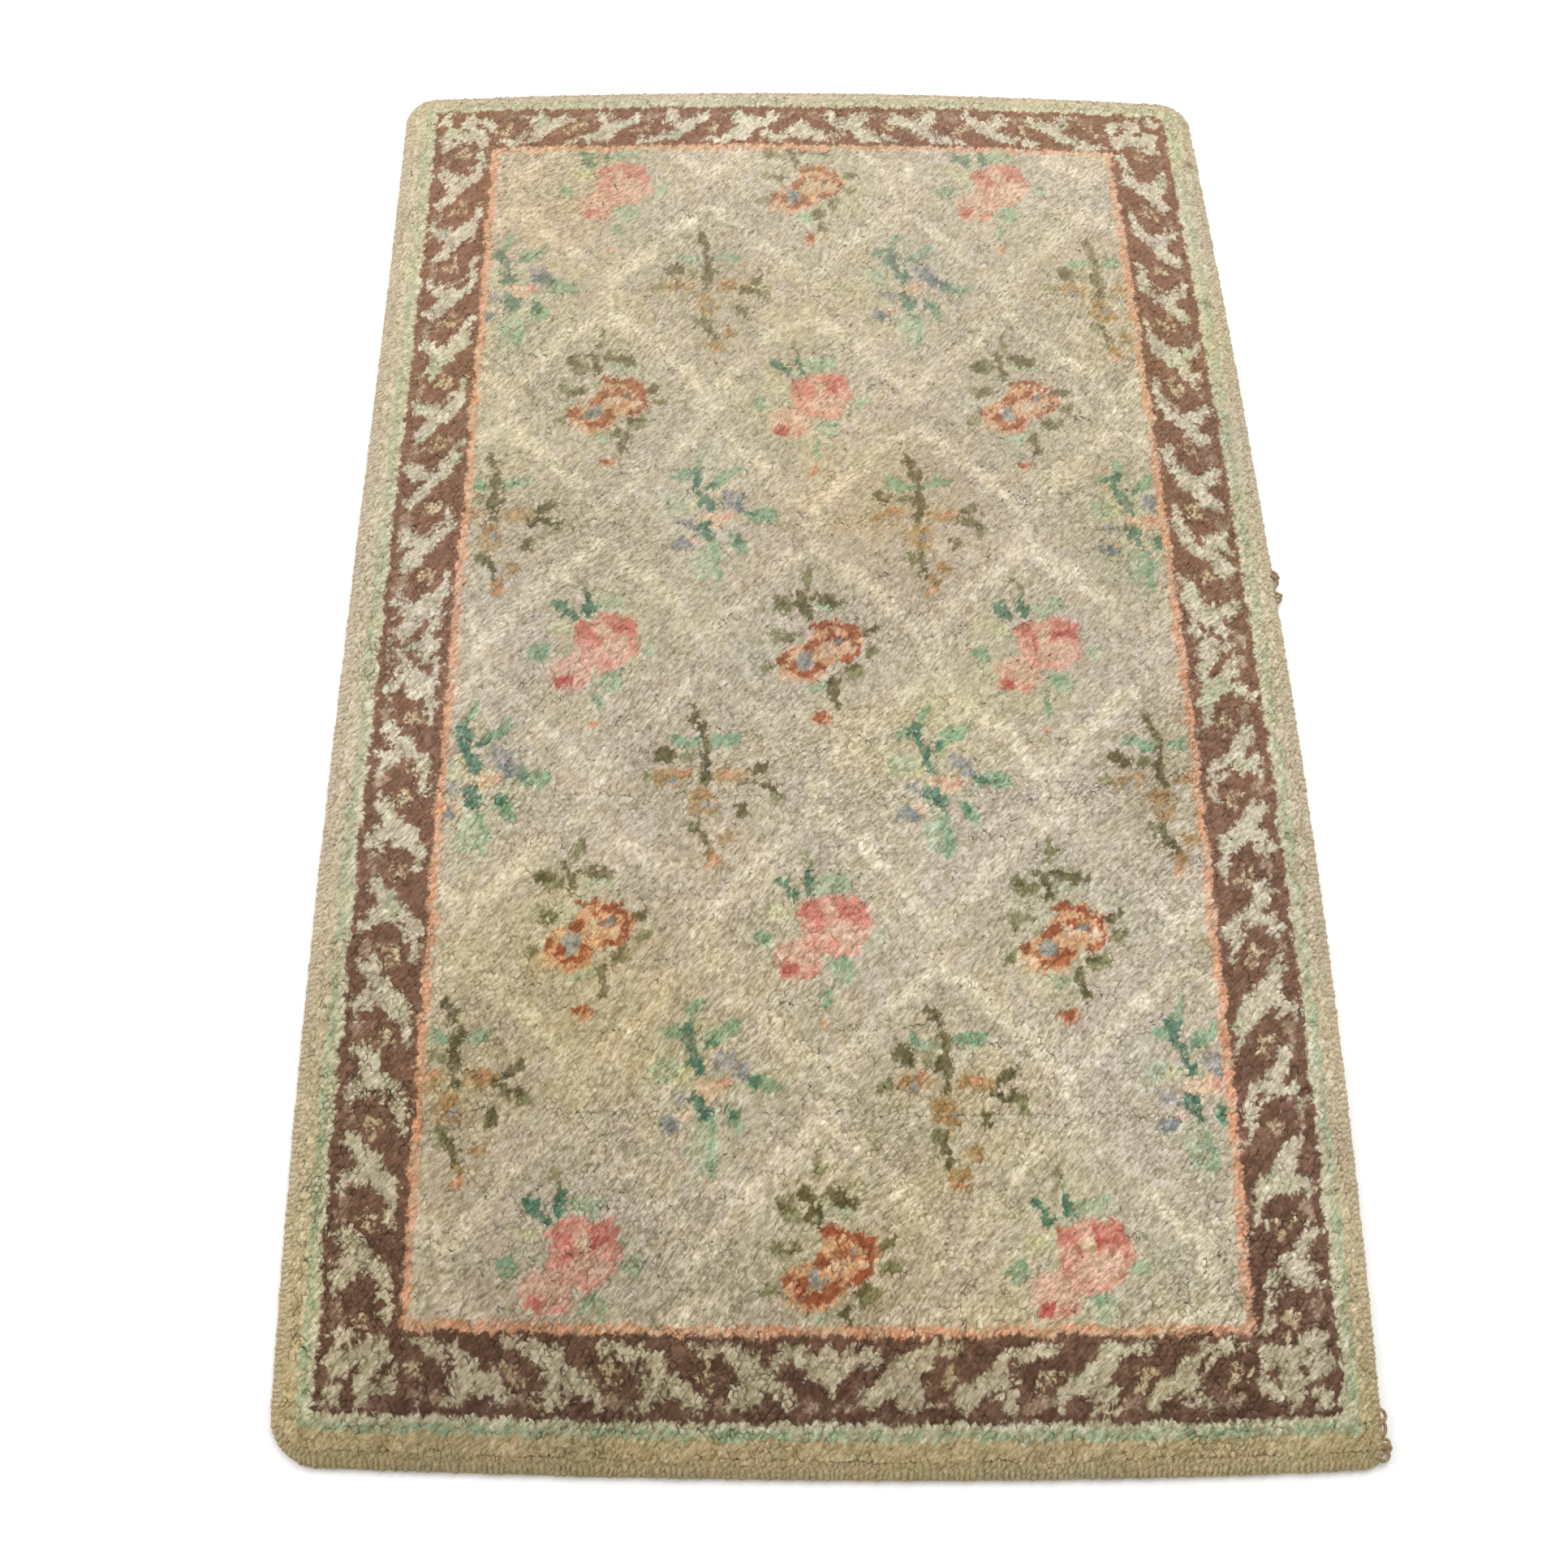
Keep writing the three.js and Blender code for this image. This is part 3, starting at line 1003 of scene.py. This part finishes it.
def give_map(piece, places):
    """Gives each corner of each face its place on the map that surface detail is baked through."""
    layer = piece.data.uv_layers.new(name="OFBake")
    layer.data.foreach_set("uv", places.ravel().astype(np.float32))


# Pile

def swell(x, y):
    """Low swells of the worn pile."""
    across = np.sin(x / SWELL_ACROSS * 2 * math.pi)
    return SWELL_HEIGHT * across * np.cos(y / SWELL_ALONG * 2 * math.pi)


def knot_grid():
    """Middles of the knots on the plain rectangle, in uneven rows that are set off by half a knot."""
    spare = 3
    columns = int(2 * HALF_WIDTH / KNOT_ACROSS) + spare
    rows = int(2 * HALF_LENGTH / KNOT_ALONG) + spare
    i, j = np.meshgrid(np.arange(columns), np.arange(rows))
    a = (i - columns / 2 + 0.5 * (j % 2)) * KNOT_ACROSS
    b = (j - rows / 2) * KNOT_ALONG
    return *wandered(a, b, ROW_WANDER), i, j


def strayed(a, b, rise):
    """Corners of the knots that lie that far along from their middles, each a little out of true."""
    furthest = 2 * KNOT_STRAY
    stray = np.clip(rng.normal(0, KNOT_STRAY, (*a.shape, 2)), -furthest, furthest)
    return np.stack([a, b + rise], -1) + stray


def slits(a, b, i, j):
    """Depth of the pile's short cracks at the far and at the near corner of every knot, from 0 to 1."""
    rows, columns = a.shape
    at_edge = border_depth(a, b) < BAND_WIDTH
    chance = np.where(at_edge, EDGE_CRACKS, FIELD_CRACKS)
    chance = chance * (1 - CRACK_THINNING * b / HALF_LENGTH) * patchy(a, b, CRACK_PATCHES)
    deepest = np.where(at_edge, EDGE_CRACK_SIZE, FIELD_CRACK_SIZE)
    cracked = rng.random(a.shape) < chance
    size = np.where(cracked, deepest * rng.uniform(LEAST_CRACK, 1, a.shape), 0)
    # The knot across the crack is the next to the right, the next to the left, or the one two rows on.
    way = rng.choice(len(CRACK_WAYS), a.shape, p=CRACK_WAYS)
    row = np.clip(j + np.choose(way, (1, 1, 2)), 0, rows - 1)
    column = np.clip(i + np.choose(way, (j % 2, j % 2 - 1, 0)), 0, columns - 1)
    near = np.zeros(a.shape)
    np.maximum.at(near, (row, column), size)
    for crease in CREASES:
        along = (a > crease.start) & (a < crease.end) & (rng.random(a.shape) < CREASE_SHARE)
        line = int(round(crease.y / KNOT_ALONG + rows / 2))
        size = np.where(along & (j == line), rng.uniform(LEAST_CREASE, 1, a.shape), size)
        near = np.where(along & (j == line + 1), rng.uniform(LEAST_CREASE, 1, a.shape), near)
    return size + CRACK_SLACK * rng.random(a.shape), near + CRACK_SLACK * rng.random(a.shape)


def pile_surface():
    """Plan places of every point of the pile, its cracks, each knot's corners, and the knots on the rug."""
    a, b, i, j = knot_grid()
    rows, columns = a.shape
    reach = 2 * KNOT_ALONG / 3
    far = strayed(a, b, reach)
    near = strayed(a, b, -reach)
    first = (j * columns + i) * KNOT_POINTS
    far_number, near_number = first + 1 + KNOT_SIDES, first + 2 + KNOT_SIDES
    above, below = np.clip(j + 1, 0, rows - 1), np.clip(j - 1, 0, rows - 1)
    right = np.clip(i + j % 2, 0, columns - 1)
    left = np.clip(i + j % 2 - 1, 0, columns - 1)
    turns = (
        (near, near_number, above, right),
        (far, far_number, j, i),
        (near, near_number, above, left),
        (far, far_number, below, left),
        (near, near_number, j, i),
        (far, far_number, below, right),
    )
    corners = np.stack([place[row, column] for place, _, row, column in turns], 2)
    numbers = np.stack([number[row, column] for _, number, row, column in turns], 2)
    middle = corners.mean(2)
    ring_points = mixed(middle[:, :, None], corners, RING_SHARE)
    ring_points = ring_points + rng.normal(0, RING_STRAY, ring_points.shape)
    plan = np.concatenate([middle[:, :, None], ring_points, far[:, :, None], near[:, :, None]], 2)
    gape = np.zeros((rows, columns, KNOT_POINTS))
    gape[:, :, -2], gape[:, :, -1] = slits(a, b, i, j)
    inside = inset_of(middle[..., 0], middle[..., 1]) > PILE_EDGE
    inside &= (i > 0) & (i < columns - 1) & (j > 0) & (j < rows - 1)
    return plan, middle, gape, numbers, inside


def combed_grain(a, b):
    """Clumps of fibre, combed one way or the other in broad patches."""
    crossed = np.clip(patchy(a, b, CROSS_PATCHES), 0, 1)
    return mixed(streaks(a, b, COMB_TURN, COMB_SEED), streaks(a, b, CROSS_TURN, CROSS_SEED), crossed)


def along_length(b, change):
    """A value that changes evenly from its middle one, by so much towards the far end."""
    return change.middle + change.far * b / HALF_LENGTH


def pebbled(a, b):
    """How far the knots stand apart as pebbles, from 0 to 1: least in the felted field."""
    at_edge = border_depth(a, b) < BAND_WIDTH
    return np.where(at_edge, along_length(b, EDGE_PEBBLES), along_length(b, FIELD_PEBBLES))


def pile_shape(plan, middle, gape):
    """Points and colours of the pile: low domed knots, with cracks of uneven depth where they meet."""
    rows, columns = middle.shape[:2]
    a, b = plan[..., 0].ravel(), plan[..., 1].ravel()
    number = np.repeat(np.arange(rows * columns), KNOT_POINTS)
    knot = middle.reshape(-1, 2)[number]
    knot_stray = rng.normal(0, COLOUR_STRAY, (rows * columns, 2))[number]
    stray = knot_stray + rng.normal(0, TIP_STRAY, (len(a), 2))
    at = mixed(knot, np.stack([a, b], -1), COLOUR_FOLLOW) + stray
    light = yarn_colours(*at.T, number)
    kind = np.tile(POINT_KINDS, rows * columns)
    crack = np.minimum(gape.ravel(), 1)
    knot_height = rng.normal(0, HEIGHT_STRAY, rows * columns)[number]
    grain = combed_grain(a, b) + rng.normal(0, GRAIN_STRAY, len(a))
    pebble = pebbled(a, b)
    xy = placed(a, b)
    height = np.interp(inset_of(a, b), RIM_INSETS, RIM_HEIGHTS) + swell(*xy.T)
    height += np.where(kind == CORNER, 0, knot_height) + pebble * np.choose(kind, DOME)
    height += GRAIN_HEIGHT * grain - CRACK_DEPTH * crack
    lean = np.choose(kind, LEAN)
    turn = math.radians(COMB_TURN) + patchy(a, b, COMB_WANDER)
    xy = xy + np.stack([lean * np.cos(turn), lean * np.sin(turn)], -1)
    # Painted shade in the cracks and at the knots' corners, painted light on their crowns, and clumps of
    # fibre painted lighter where higher and darker where lower.
    far = np.clip(b / HALF_LENGTH, 0, 1)
    shade = 1 - CRACK_SHADE * (1 - FAR_CRACKS * far) * crack
    shade *= 1 + pebble * np.choose(kind, DOME_LIGHT) + along_length(b, GRAIN_LIGHT) * grain
    return np.column_stack([xy, height]), light * shade[:, None] ** SHADE_TINT


def knot_faces(numbers, inside):
    """Triangles of every knot on the rug: six round its crown and twelve down to its corners."""
    corners = numbers[inside]
    rows, columns = inside.shape
    first = (np.arange(rows * columns).reshape(rows, columns) * KNOT_POINTS)[inside]
    faces = []
    for k in range(KNOT_SIDES):
        n = (k + 1) % KNOT_SIDES
        ring_k, ring_n = first + 1 + k, first + 1 + n
        faces.append(np.stack([first, ring_k, ring_n], -1))
        faces.append(np.stack([ring_k, corners[:, k], corners[:, n]], -1))
        faces.append(np.stack([ring_k, corners[:, n], ring_n], -1))
    return np.stack(faces, 1).reshape(-1, 3)


def pile_band(name, points, light, face, material):
    """Closed block of pile over a run of rows: its face, its sides and its flat foot."""
    used, face = np.unique(face, return_inverse=True)
    face = face.reshape(-1, 3)
    top = points[used]
    count = len(top)
    edges = np.concatenate([face[:, [0, 1]], face[:, [1, 2]], face[:, [2, 0]]])
    back = np.isin(edges[:, 0] * count + edges[:, 1], edges[:, 1] * count + edges[:, 0])
    rim_edges = edges[~back]
    rim, place = np.unique(rim_edges, return_inverse=True)
    low = place.reshape(-1, 2) + count
    foot = top[rim].copy()
    foot[:, 2] = PILE_FOOT
    middle = np.append(top[:, :2].mean(0), PILE_FOOT)
    centre = np.full(len(low), count + len(rim))
    sides = quads(rim_edges[:, 1], rim_edges[:, 0], low[:, 0], low[:, 1])
    base = np.stack([low[:, 1], low[:, 0], centre], -1)
    everything = np.concatenate([top, foot, middle[None]])
    piece = mesh_object(name, everything, np.concatenate([face, sides, base]), material)
    # Painted shade on the band's hidden sides and foot, at the roots of the pile.
    shaded_foot = light[used][rim] * HIDDEN_LIGHT
    give_colour(piece, np.concatenate([light[used], shaded_foot, shaded_foot[:1]]))
    give_band_map(piece, everything, face, len(low), base)
    return piece


def give_band_map(piece, points, face, count, base):
    """Map for baking: the face fills most of it, with the sides and the foot in strips beside it."""
    low, high = points[:, :2].min(0), points[:, :2].max(0)
    flat = (points[:, :2] - low) / (high - low)
    face_spots = flat[face] * FACE_STRIP.size + FACE_STRIP.start
    base_spots = flat[base] * FOOT_STRIP.size + FOOT_STRIP.start
    left = np.arange(count) / count
    right = left + 1 / count
    upper, lower = SIDES_TOP, SIDES_BOTTOM
    side_spots = quads(spots(right, upper), spots(left, upper), spots(left, lower), spots(right, lower))
    give_map(piece, np.concatenate([face_spots, side_spots, base_spots]))


def pile_pieces(material):
    plan, middle, gape, numbers, inside = pile_surface()
    points, light = pile_shape(plan, middle, gape)
    rows = len(inside)
    cuts = np.linspace(0, rows, len(PILE_BANDS) + 1).astype(int)
    row = np.arange(rows)[:, None]
    pieces = []
    for name, first, last in zip(PILE_BANDS, cuts[:-1], cuts[1:]):
        face = knot_faces(numbers, inside & (row >= first) & (row < last))
        pieces.append(pile_band(f"pile_{name}", points, light, face, material))
    return pieces


# Rim

def inset_path(path, inset):
    """The same turn round the rug, moved in from the outline, and the directions outward."""
    just_inside = 0.9999
    out = np.stack(outward_of(*(path * just_inside).T), -1)
    return path - out * inset, out


def rim_ring(path, row):
    """Points and colours of one ring of the rolled rim."""
    count = len(path)
    ribs = count // RIB_STEPS
    shifted = (np.arange(count) + row.row * RIB_STEPS // 2) % count
    rib, step = shifted // RIB_STEPS, shifted % RIB_STEPS
    own = np.random.default_rng(RIB_SEED + row.row)
    fullness = own.uniform(*RIB_SPREAD, ribs)[rib] * np.array(RIB_FULLNESS)[step]
    slant = own.normal(0, RIB_SLANT, ribs)[rib] * (row.height - RIB_MIDDLE)
    at, out = inset_path(path, row.inset)
    along = np.stack([-out[:, 1], out[:, 0]], -1)
    wander = patchy(*at.T, RIB_WANDER[row.row])
    at = at + along * (slant + wander)[:, None]
    reach = RIB_SWELL * row.swell * fullness
    lean = math.radians(row.lean)
    at = at + out * (reach * math.sin(lean))[:, None]
    height = np.maximum(row.height + reach * math.cos(lean), LOWEST_RIB)
    light = yarn_colours(*at.T, rib)
    if row.height < OCHRE_HEIGHT:
        light = tinted(light, "ochre", np.full(count, OCHRE_SHARE))
    # Painted shade in the grooves between the ribs and painted light on their crests, times the ring's
    # painted shade.
    rib_shade = np.where(row.swell > 0, np.array(RIB_LIGHT)[step], 1)
    points = np.column_stack([placed(*at.T), height])
    return points, light * (row.light * rib_shade)[:, None]


def rim_roll(material):
    """Outermost pile, rolled over the edge: a row of knots and the ribs below it, as one closed ring."""
    path = np.stack(ring(0, RIB_PITCH, RIB_STEPS), -1)
    count = len(path)
    rings = [rim_ring(path, row) for row in RIM_RINGS]
    here = np.arange(count)
    after = (here + 1) % count
    left, right = here / count, (here + 1) / count
    faces = []
    places = []
    for r in range(len(rings)):
        high, low = r * count, (r + 1) % len(rings) * count
        faces.append(quads(high + here, low + here, low + after, high + after))
        top, bottom = r / len(rings), (r + 1) / len(rings)
        places.append(quads(spots(left, top), spots(left, bottom), spots(right, bottom), spots(right, top)))
    points = np.concatenate([point for point, _ in rings])
    piece = mesh_object("rim_roll", points, np.concatenate(faces), material)
    give_colour(piece, np.concatenate([light for _, light in rings]))
    give_map(piece, np.concatenate(places))
    return piece


# Loose yarn

def loose_loop(loop):
    """Points and faces of one loop, a closed round tube whose ends are in the rim."""
    steps, sides = 12, 6
    turn = np.linspace(0, math.pi, steps)
    a = HALF_WIDTH - LOOP_ROOT + (LOOP_ROOT + loop.reach) * np.sin(turn)
    b = loop.along - loop.width * np.cos(turn)
    path = np.column_stack([placed(a, b), np.linspace(loop.start, loop.end, steps)])
    ahead = np.gradient(path, axis=0)
    ahead /= np.linalg.norm(ahead, axis=1)[:, None]
    side = np.cross(ahead, (0, 0, 1))
    side /= np.linalg.norm(side, axis=1)[:, None]
    above = np.cross(side, ahead)
    angle = np.arange(sides) / sides * 2 * math.pi
    round_it = side[:, None] * np.cos(angle)[:, None] + above[:, None] * np.sin(angle)[:, None]
    points = path[:, None] + LOOP_RADIUS * round_it
    here = np.arange(sides)
    after = (here + 1) % sides
    last = (steps - 1) * sides
    faces = [quads(s + here, s + after, s + sides + after, s + sides + here) for s in range(0, last, sides)]
    inner = here[1:-1]
    faces.append(np.stack([0 * inner, inner + 1, inner], -1))
    faces.append(np.stack([0 * inner, inner, inner + 1], -1) + last)
    return points.reshape(-1, 3), np.concatenate(faces)


def loose_loops(material):
    points, faces, count = [], [], 0
    for loop in LOOSE_LOOPS:
        loop_points, loop_faces = loose_loop(loop)
        points.append(loop_points)
        faces.append(loop_faces + count)
        count += len(loop_points)
    piece = mesh_object("loose_loops", np.concatenate(points), np.concatenate(faces), material)
    stray = rng.random((count, 1))
    give_colour(piece, mixed(YARN_LIGHT[yarn("loose")], STRAY_LIGHT[yarn("loose")], stray))
    return piece


# Woven ground under the pile

def woven_ground(material):
    """Thin closed mat that the knots are tied to."""
    path = np.stack(ring(0, MAT_PITCH), -1)
    count = len(path)
    rings = []
    for inset, height in MAT_SECTION:
        shrunk = path * (1 - inset / np.array([HALF_WIDTH, HALF_LENGTH]))
        if inset < SHRINK_INSET:
            shrunk, _ = inset_path(path, inset)
        rings.append(np.column_stack([placed(*shrunk.T), np.full(count, height)]))
    points = np.concatenate(rings + [[[0, 0, 0]], [[0, 0, MAT_SECTION[-1].height]]])
    underside, crown = len(points) - 2, len(points) - 1
    here = np.arange(count)
    after = (here + 1) % count
    faces = [np.stack([np.full(count, underside), after, here], -1)]
    top = (len(rings) - 1) * count
    for low in range(0, top, count):
        high = low + count
        faces.append(quads(low + here, low + after, high + after, high + here))
    faces.append(np.stack([top + here, top + after, np.full(count, crown)], -1))
    return mesh_object("woven_ground", points, np.concatenate(faces), material)


# Materials

Paint = namedtuple("Paint", "material nodes links shader place")


def new_paint(name):
    material = bpy.data.materials.new(name)
    material.use_nodes = True
    nodes = material.node_tree.nodes
    place = nodes.new("ShaderNodeTexCoord").outputs["Object"]
    return Paint(material, nodes, material.node_tree.links, nodes["Principled BSDF"], place)


def fill(node, values):
    for name, value in values.items():
        node.inputs[name].default_value = value


def noise(paint, place, scale, detail):
    node = paint.nodes.new("ShaderNodeTexNoise")
    fill(node, {"Scale": scale, "Detail": detail})
    paint.links.new(place, node.inputs["Vector"])
    return node.outputs["Fac"]


def ranged(paint, value, low, high):
    """Carries the usual spread of a noise onto a range."""
    node = paint.nodes.new("ShaderNodeMapRange")
    fill(node, {"From Min": NOISE_LOW, "From Max": NOISE_HIGH, "To Min": low, "To Max": high})
    paint.links.new(value, node.inputs["Value"])
    return node.outputs["Result"]


def shaded(paint, value, dark, light):
    """Carries the usual spread of a noise onto a range of colours."""
    node = paint.nodes.new("ShaderNodeMix")
    node.data_type = "RGBA"
    paint.links.new(ranged(paint, value, 0, 1), node.inputs["Factor"])
    fill(node, {"A": (*dark, 1), "B": (*light, 1)})
    return node.outputs["Result"]


def multiplied(paint, colour, factor):
    node = paint.nodes.new("ShaderNodeVectorMath")
    node.operation = "MULTIPLY"
    paint.links.new(colour, node.inputs[0])
    paint.links.new(factor, node.inputs[1])
    return node.outputs["Vector"]


def bumped(paint, height, strength, distance):
    node = paint.nodes.new("ShaderNodeBump")
    fill(node, {"Strength": strength, "Distance": distance})
    paint.links.new(height, node.inputs["Height"])
    return node.outputs["Normal"]


def combed_noise(paint, degrees):
    """Streaky noise that is drawn out along the direction in which the pile is combed."""
    combing = paint.nodes.new("ShaderNodeMapping")
    combing.vector_type = "TEXTURE"
    fill(combing, {"Rotation": (0, 0, math.radians(degrees)), "Scale": FIBRE_STRETCH})
    paint.links.new(paint.place, combing.inputs["Vector"])
    return noise(paint, combing.outputs["Vector"], FIBRE_FINENESS, FIBRE_DETAIL)


def wool():
    """Cut wool: the knot's own yarn colour, fibres combed two ways in broad patches, painted shade in their
    hollows and painted light on their tips, and a soft sheen.
    """
    paint = new_paint("wool_pile")
    links, shader = paint.links, paint.shader
    knot = paint.nodes.new("ShaderNodeVertexColor")
    knot.layer_name = "yarn"
    mix = paint.nodes.new("ShaderNodeMix")
    crossed = noise(paint, paint.place, CROSS_FINENESS, CROSS_DETAIL)
    links.new(ranged(paint, crossed, 0, 1), mix.inputs["Factor"])
    links.new(combed_noise(paint, COMB_TURN), mix.inputs["A"])
    links.new(combed_noise(paint, CROSS_TURN), mix.inputs["B"])
    fibres = mix.outputs["Result"]
    # Painted shade in the hollows between the fibres and painted light on their tips, from the noise that
    # also bumps them.
    fibre_tone = shaded(paint, fibres, FIBRE_DARK, FIBRE_LIGHT)
    links.new(multiplied(paint, knot.outputs["Color"], fibre_tone), shader.inputs["Base Color"])
    links.new(bumped(paint, fibres, FIBRE_BUMP, FIBRE_DEPTH), shader.inputs["Normal"])
    links.new(ranged(paint, fibres, *WOOL_ROUGHNESS), shader.inputs["Roughness"])
    fill(shader, {
        "Specular IOR Level": WOOL_SHINE,
        "Sheen Weight": WOOL_SHEEN,
        "Sheen Roughness": WOOL_SHEEN_SPREAD,
    })
    return paint.material


def ground_weave():
    """Back of the rug: rows of knot loops in undyed wool and cotton."""
    paint = new_paint("ground_weave")
    links, shader = paint.links, paint.shader
    rows = paint.nodes.new("ShaderNodeTexBrick")
    fill(rows, {
        "Scale": 1.0,
        "Brick Width": KNOT_ACROSS * MM,
        "Row Height": KNOT_ALONG * MM,
        "Mortar Size": LOOP_GAP * MM,
        "Mortar Smooth": 1.0,
        "Color1": (*linear(LOOP_COLOUR), 1),
        "Color2": (*linear(DARK_LOOP_COLOUR), 1),
        "Mortar": (*linear(GAP_COLOUR), 1),
    })
    links.new(paint.place, rows.inputs["Vector"])
    fibre_tone = ranged(paint, noise(paint, paint.place, WEAVE_FINENESS, WEAVE_DETAIL), *WEAVE_LIGHT)
    links.new(multiplied(paint, rows.outputs["Color"], fibre_tone), shader.inputs["Base Color"])
    links.new(bumped(paint, rows.outputs["Fac"], -WEAVE_BUMP, WEAVE_DEPTH), shader.inputs["Normal"])
    links.new(ranged(paint, fibre_tone, *WEAVE_ROUGHNESS), shader.inputs["Roughness"])
    fill(shader, {"Specular IOR Level": WOOL_SHINE})
    return paint.material


def floor_material():
    paint = new_paint("studio_floor")
    shine = paint.nodes.new("ShaderNodeMapRange")
    fill(shine, {"To Min": FLOOR_ROUGHNESS[0], "To Max": FLOOR_ROUGHNESS[1]})
    paint.links.new(noise(paint, paint.place, FLOOR_FINENESS, FLOOR_DETAIL), shine.inputs["Value"])
    paint.links.new(shine.outputs["Result"], paint.shader.inputs["Roughness"])
    fill(paint.shader, {"Base Color": FLOOR_COLOUR})
    return paint.material


# Studio

def add_camera():
    camera = bpy.data.cameras.new("camera")
    camera.sensor_width = SENSOR_WIDTH
    camera.lens = LENS
    made = linked("camera", camera)
    made.location = CAMERA_PLACE
    made.rotation_euler = CAMERA_TURN
    bpy.context.scene.camera = made


def add_lamp(lamp):
    """Round soft lamp, turned towards the middle of the rug."""
    light = bpy.data.lights.new(lamp.name, "AREA")
    light.shape = "DISK"
    light.size = lamp.size
    light.energy = lamp.power
    made = linked(lamp.name, light)
    made.location = lamp.place
    x, y, z = lamp.place
    made.rotation_euler = (math.atan2(math.hypot(x, y), z), 0, math.atan2(-y, -x) - math.pi / 2)


def add_floor():
    mesh = bpy.data.meshes.new("floor")
    turns = ((-1, -1), (1, -1), (1, 1), (-1, 1))
    corners = [(sx * FLOOR_REACH, sy * FLOOR_REACH, -FLOOR_DROP) for sx, sy in turns]
    mesh.from_pydata(corners, [], [(0, 1, 2, 3)])
    mesh.materials.append(floor_material())
    floor = linked("floor", mesh)


def add_studio():
    scene = bpy.context.scene
    world = bpy.data.worlds.new("studio")
    world.use_nodes = True
    fill(world.node_tree.nodes["Background"], {"Color": STUDIO_COLOUR, "Strength": STUDIO_STRENGTH})
    scene.world = world
    scene.view_settings.view_transform = "Standard"
    for lamp in LAMPS:
        add_lamp(lamp)


# The rug

def add_rug():
    yarn_material = wool()
    ground = woven_ground(ground_weave())
    pieces = pile_pieces(yarn_material)
    pieces.append(rim_roll(yarn_material))
    pieces.append(loose_loops(yarn_material))
    for piece in [ground, *pieces]:
        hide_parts("rug")
        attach(piece, "root")


add_camera()
add_floor()
add_studio()
add_rug()
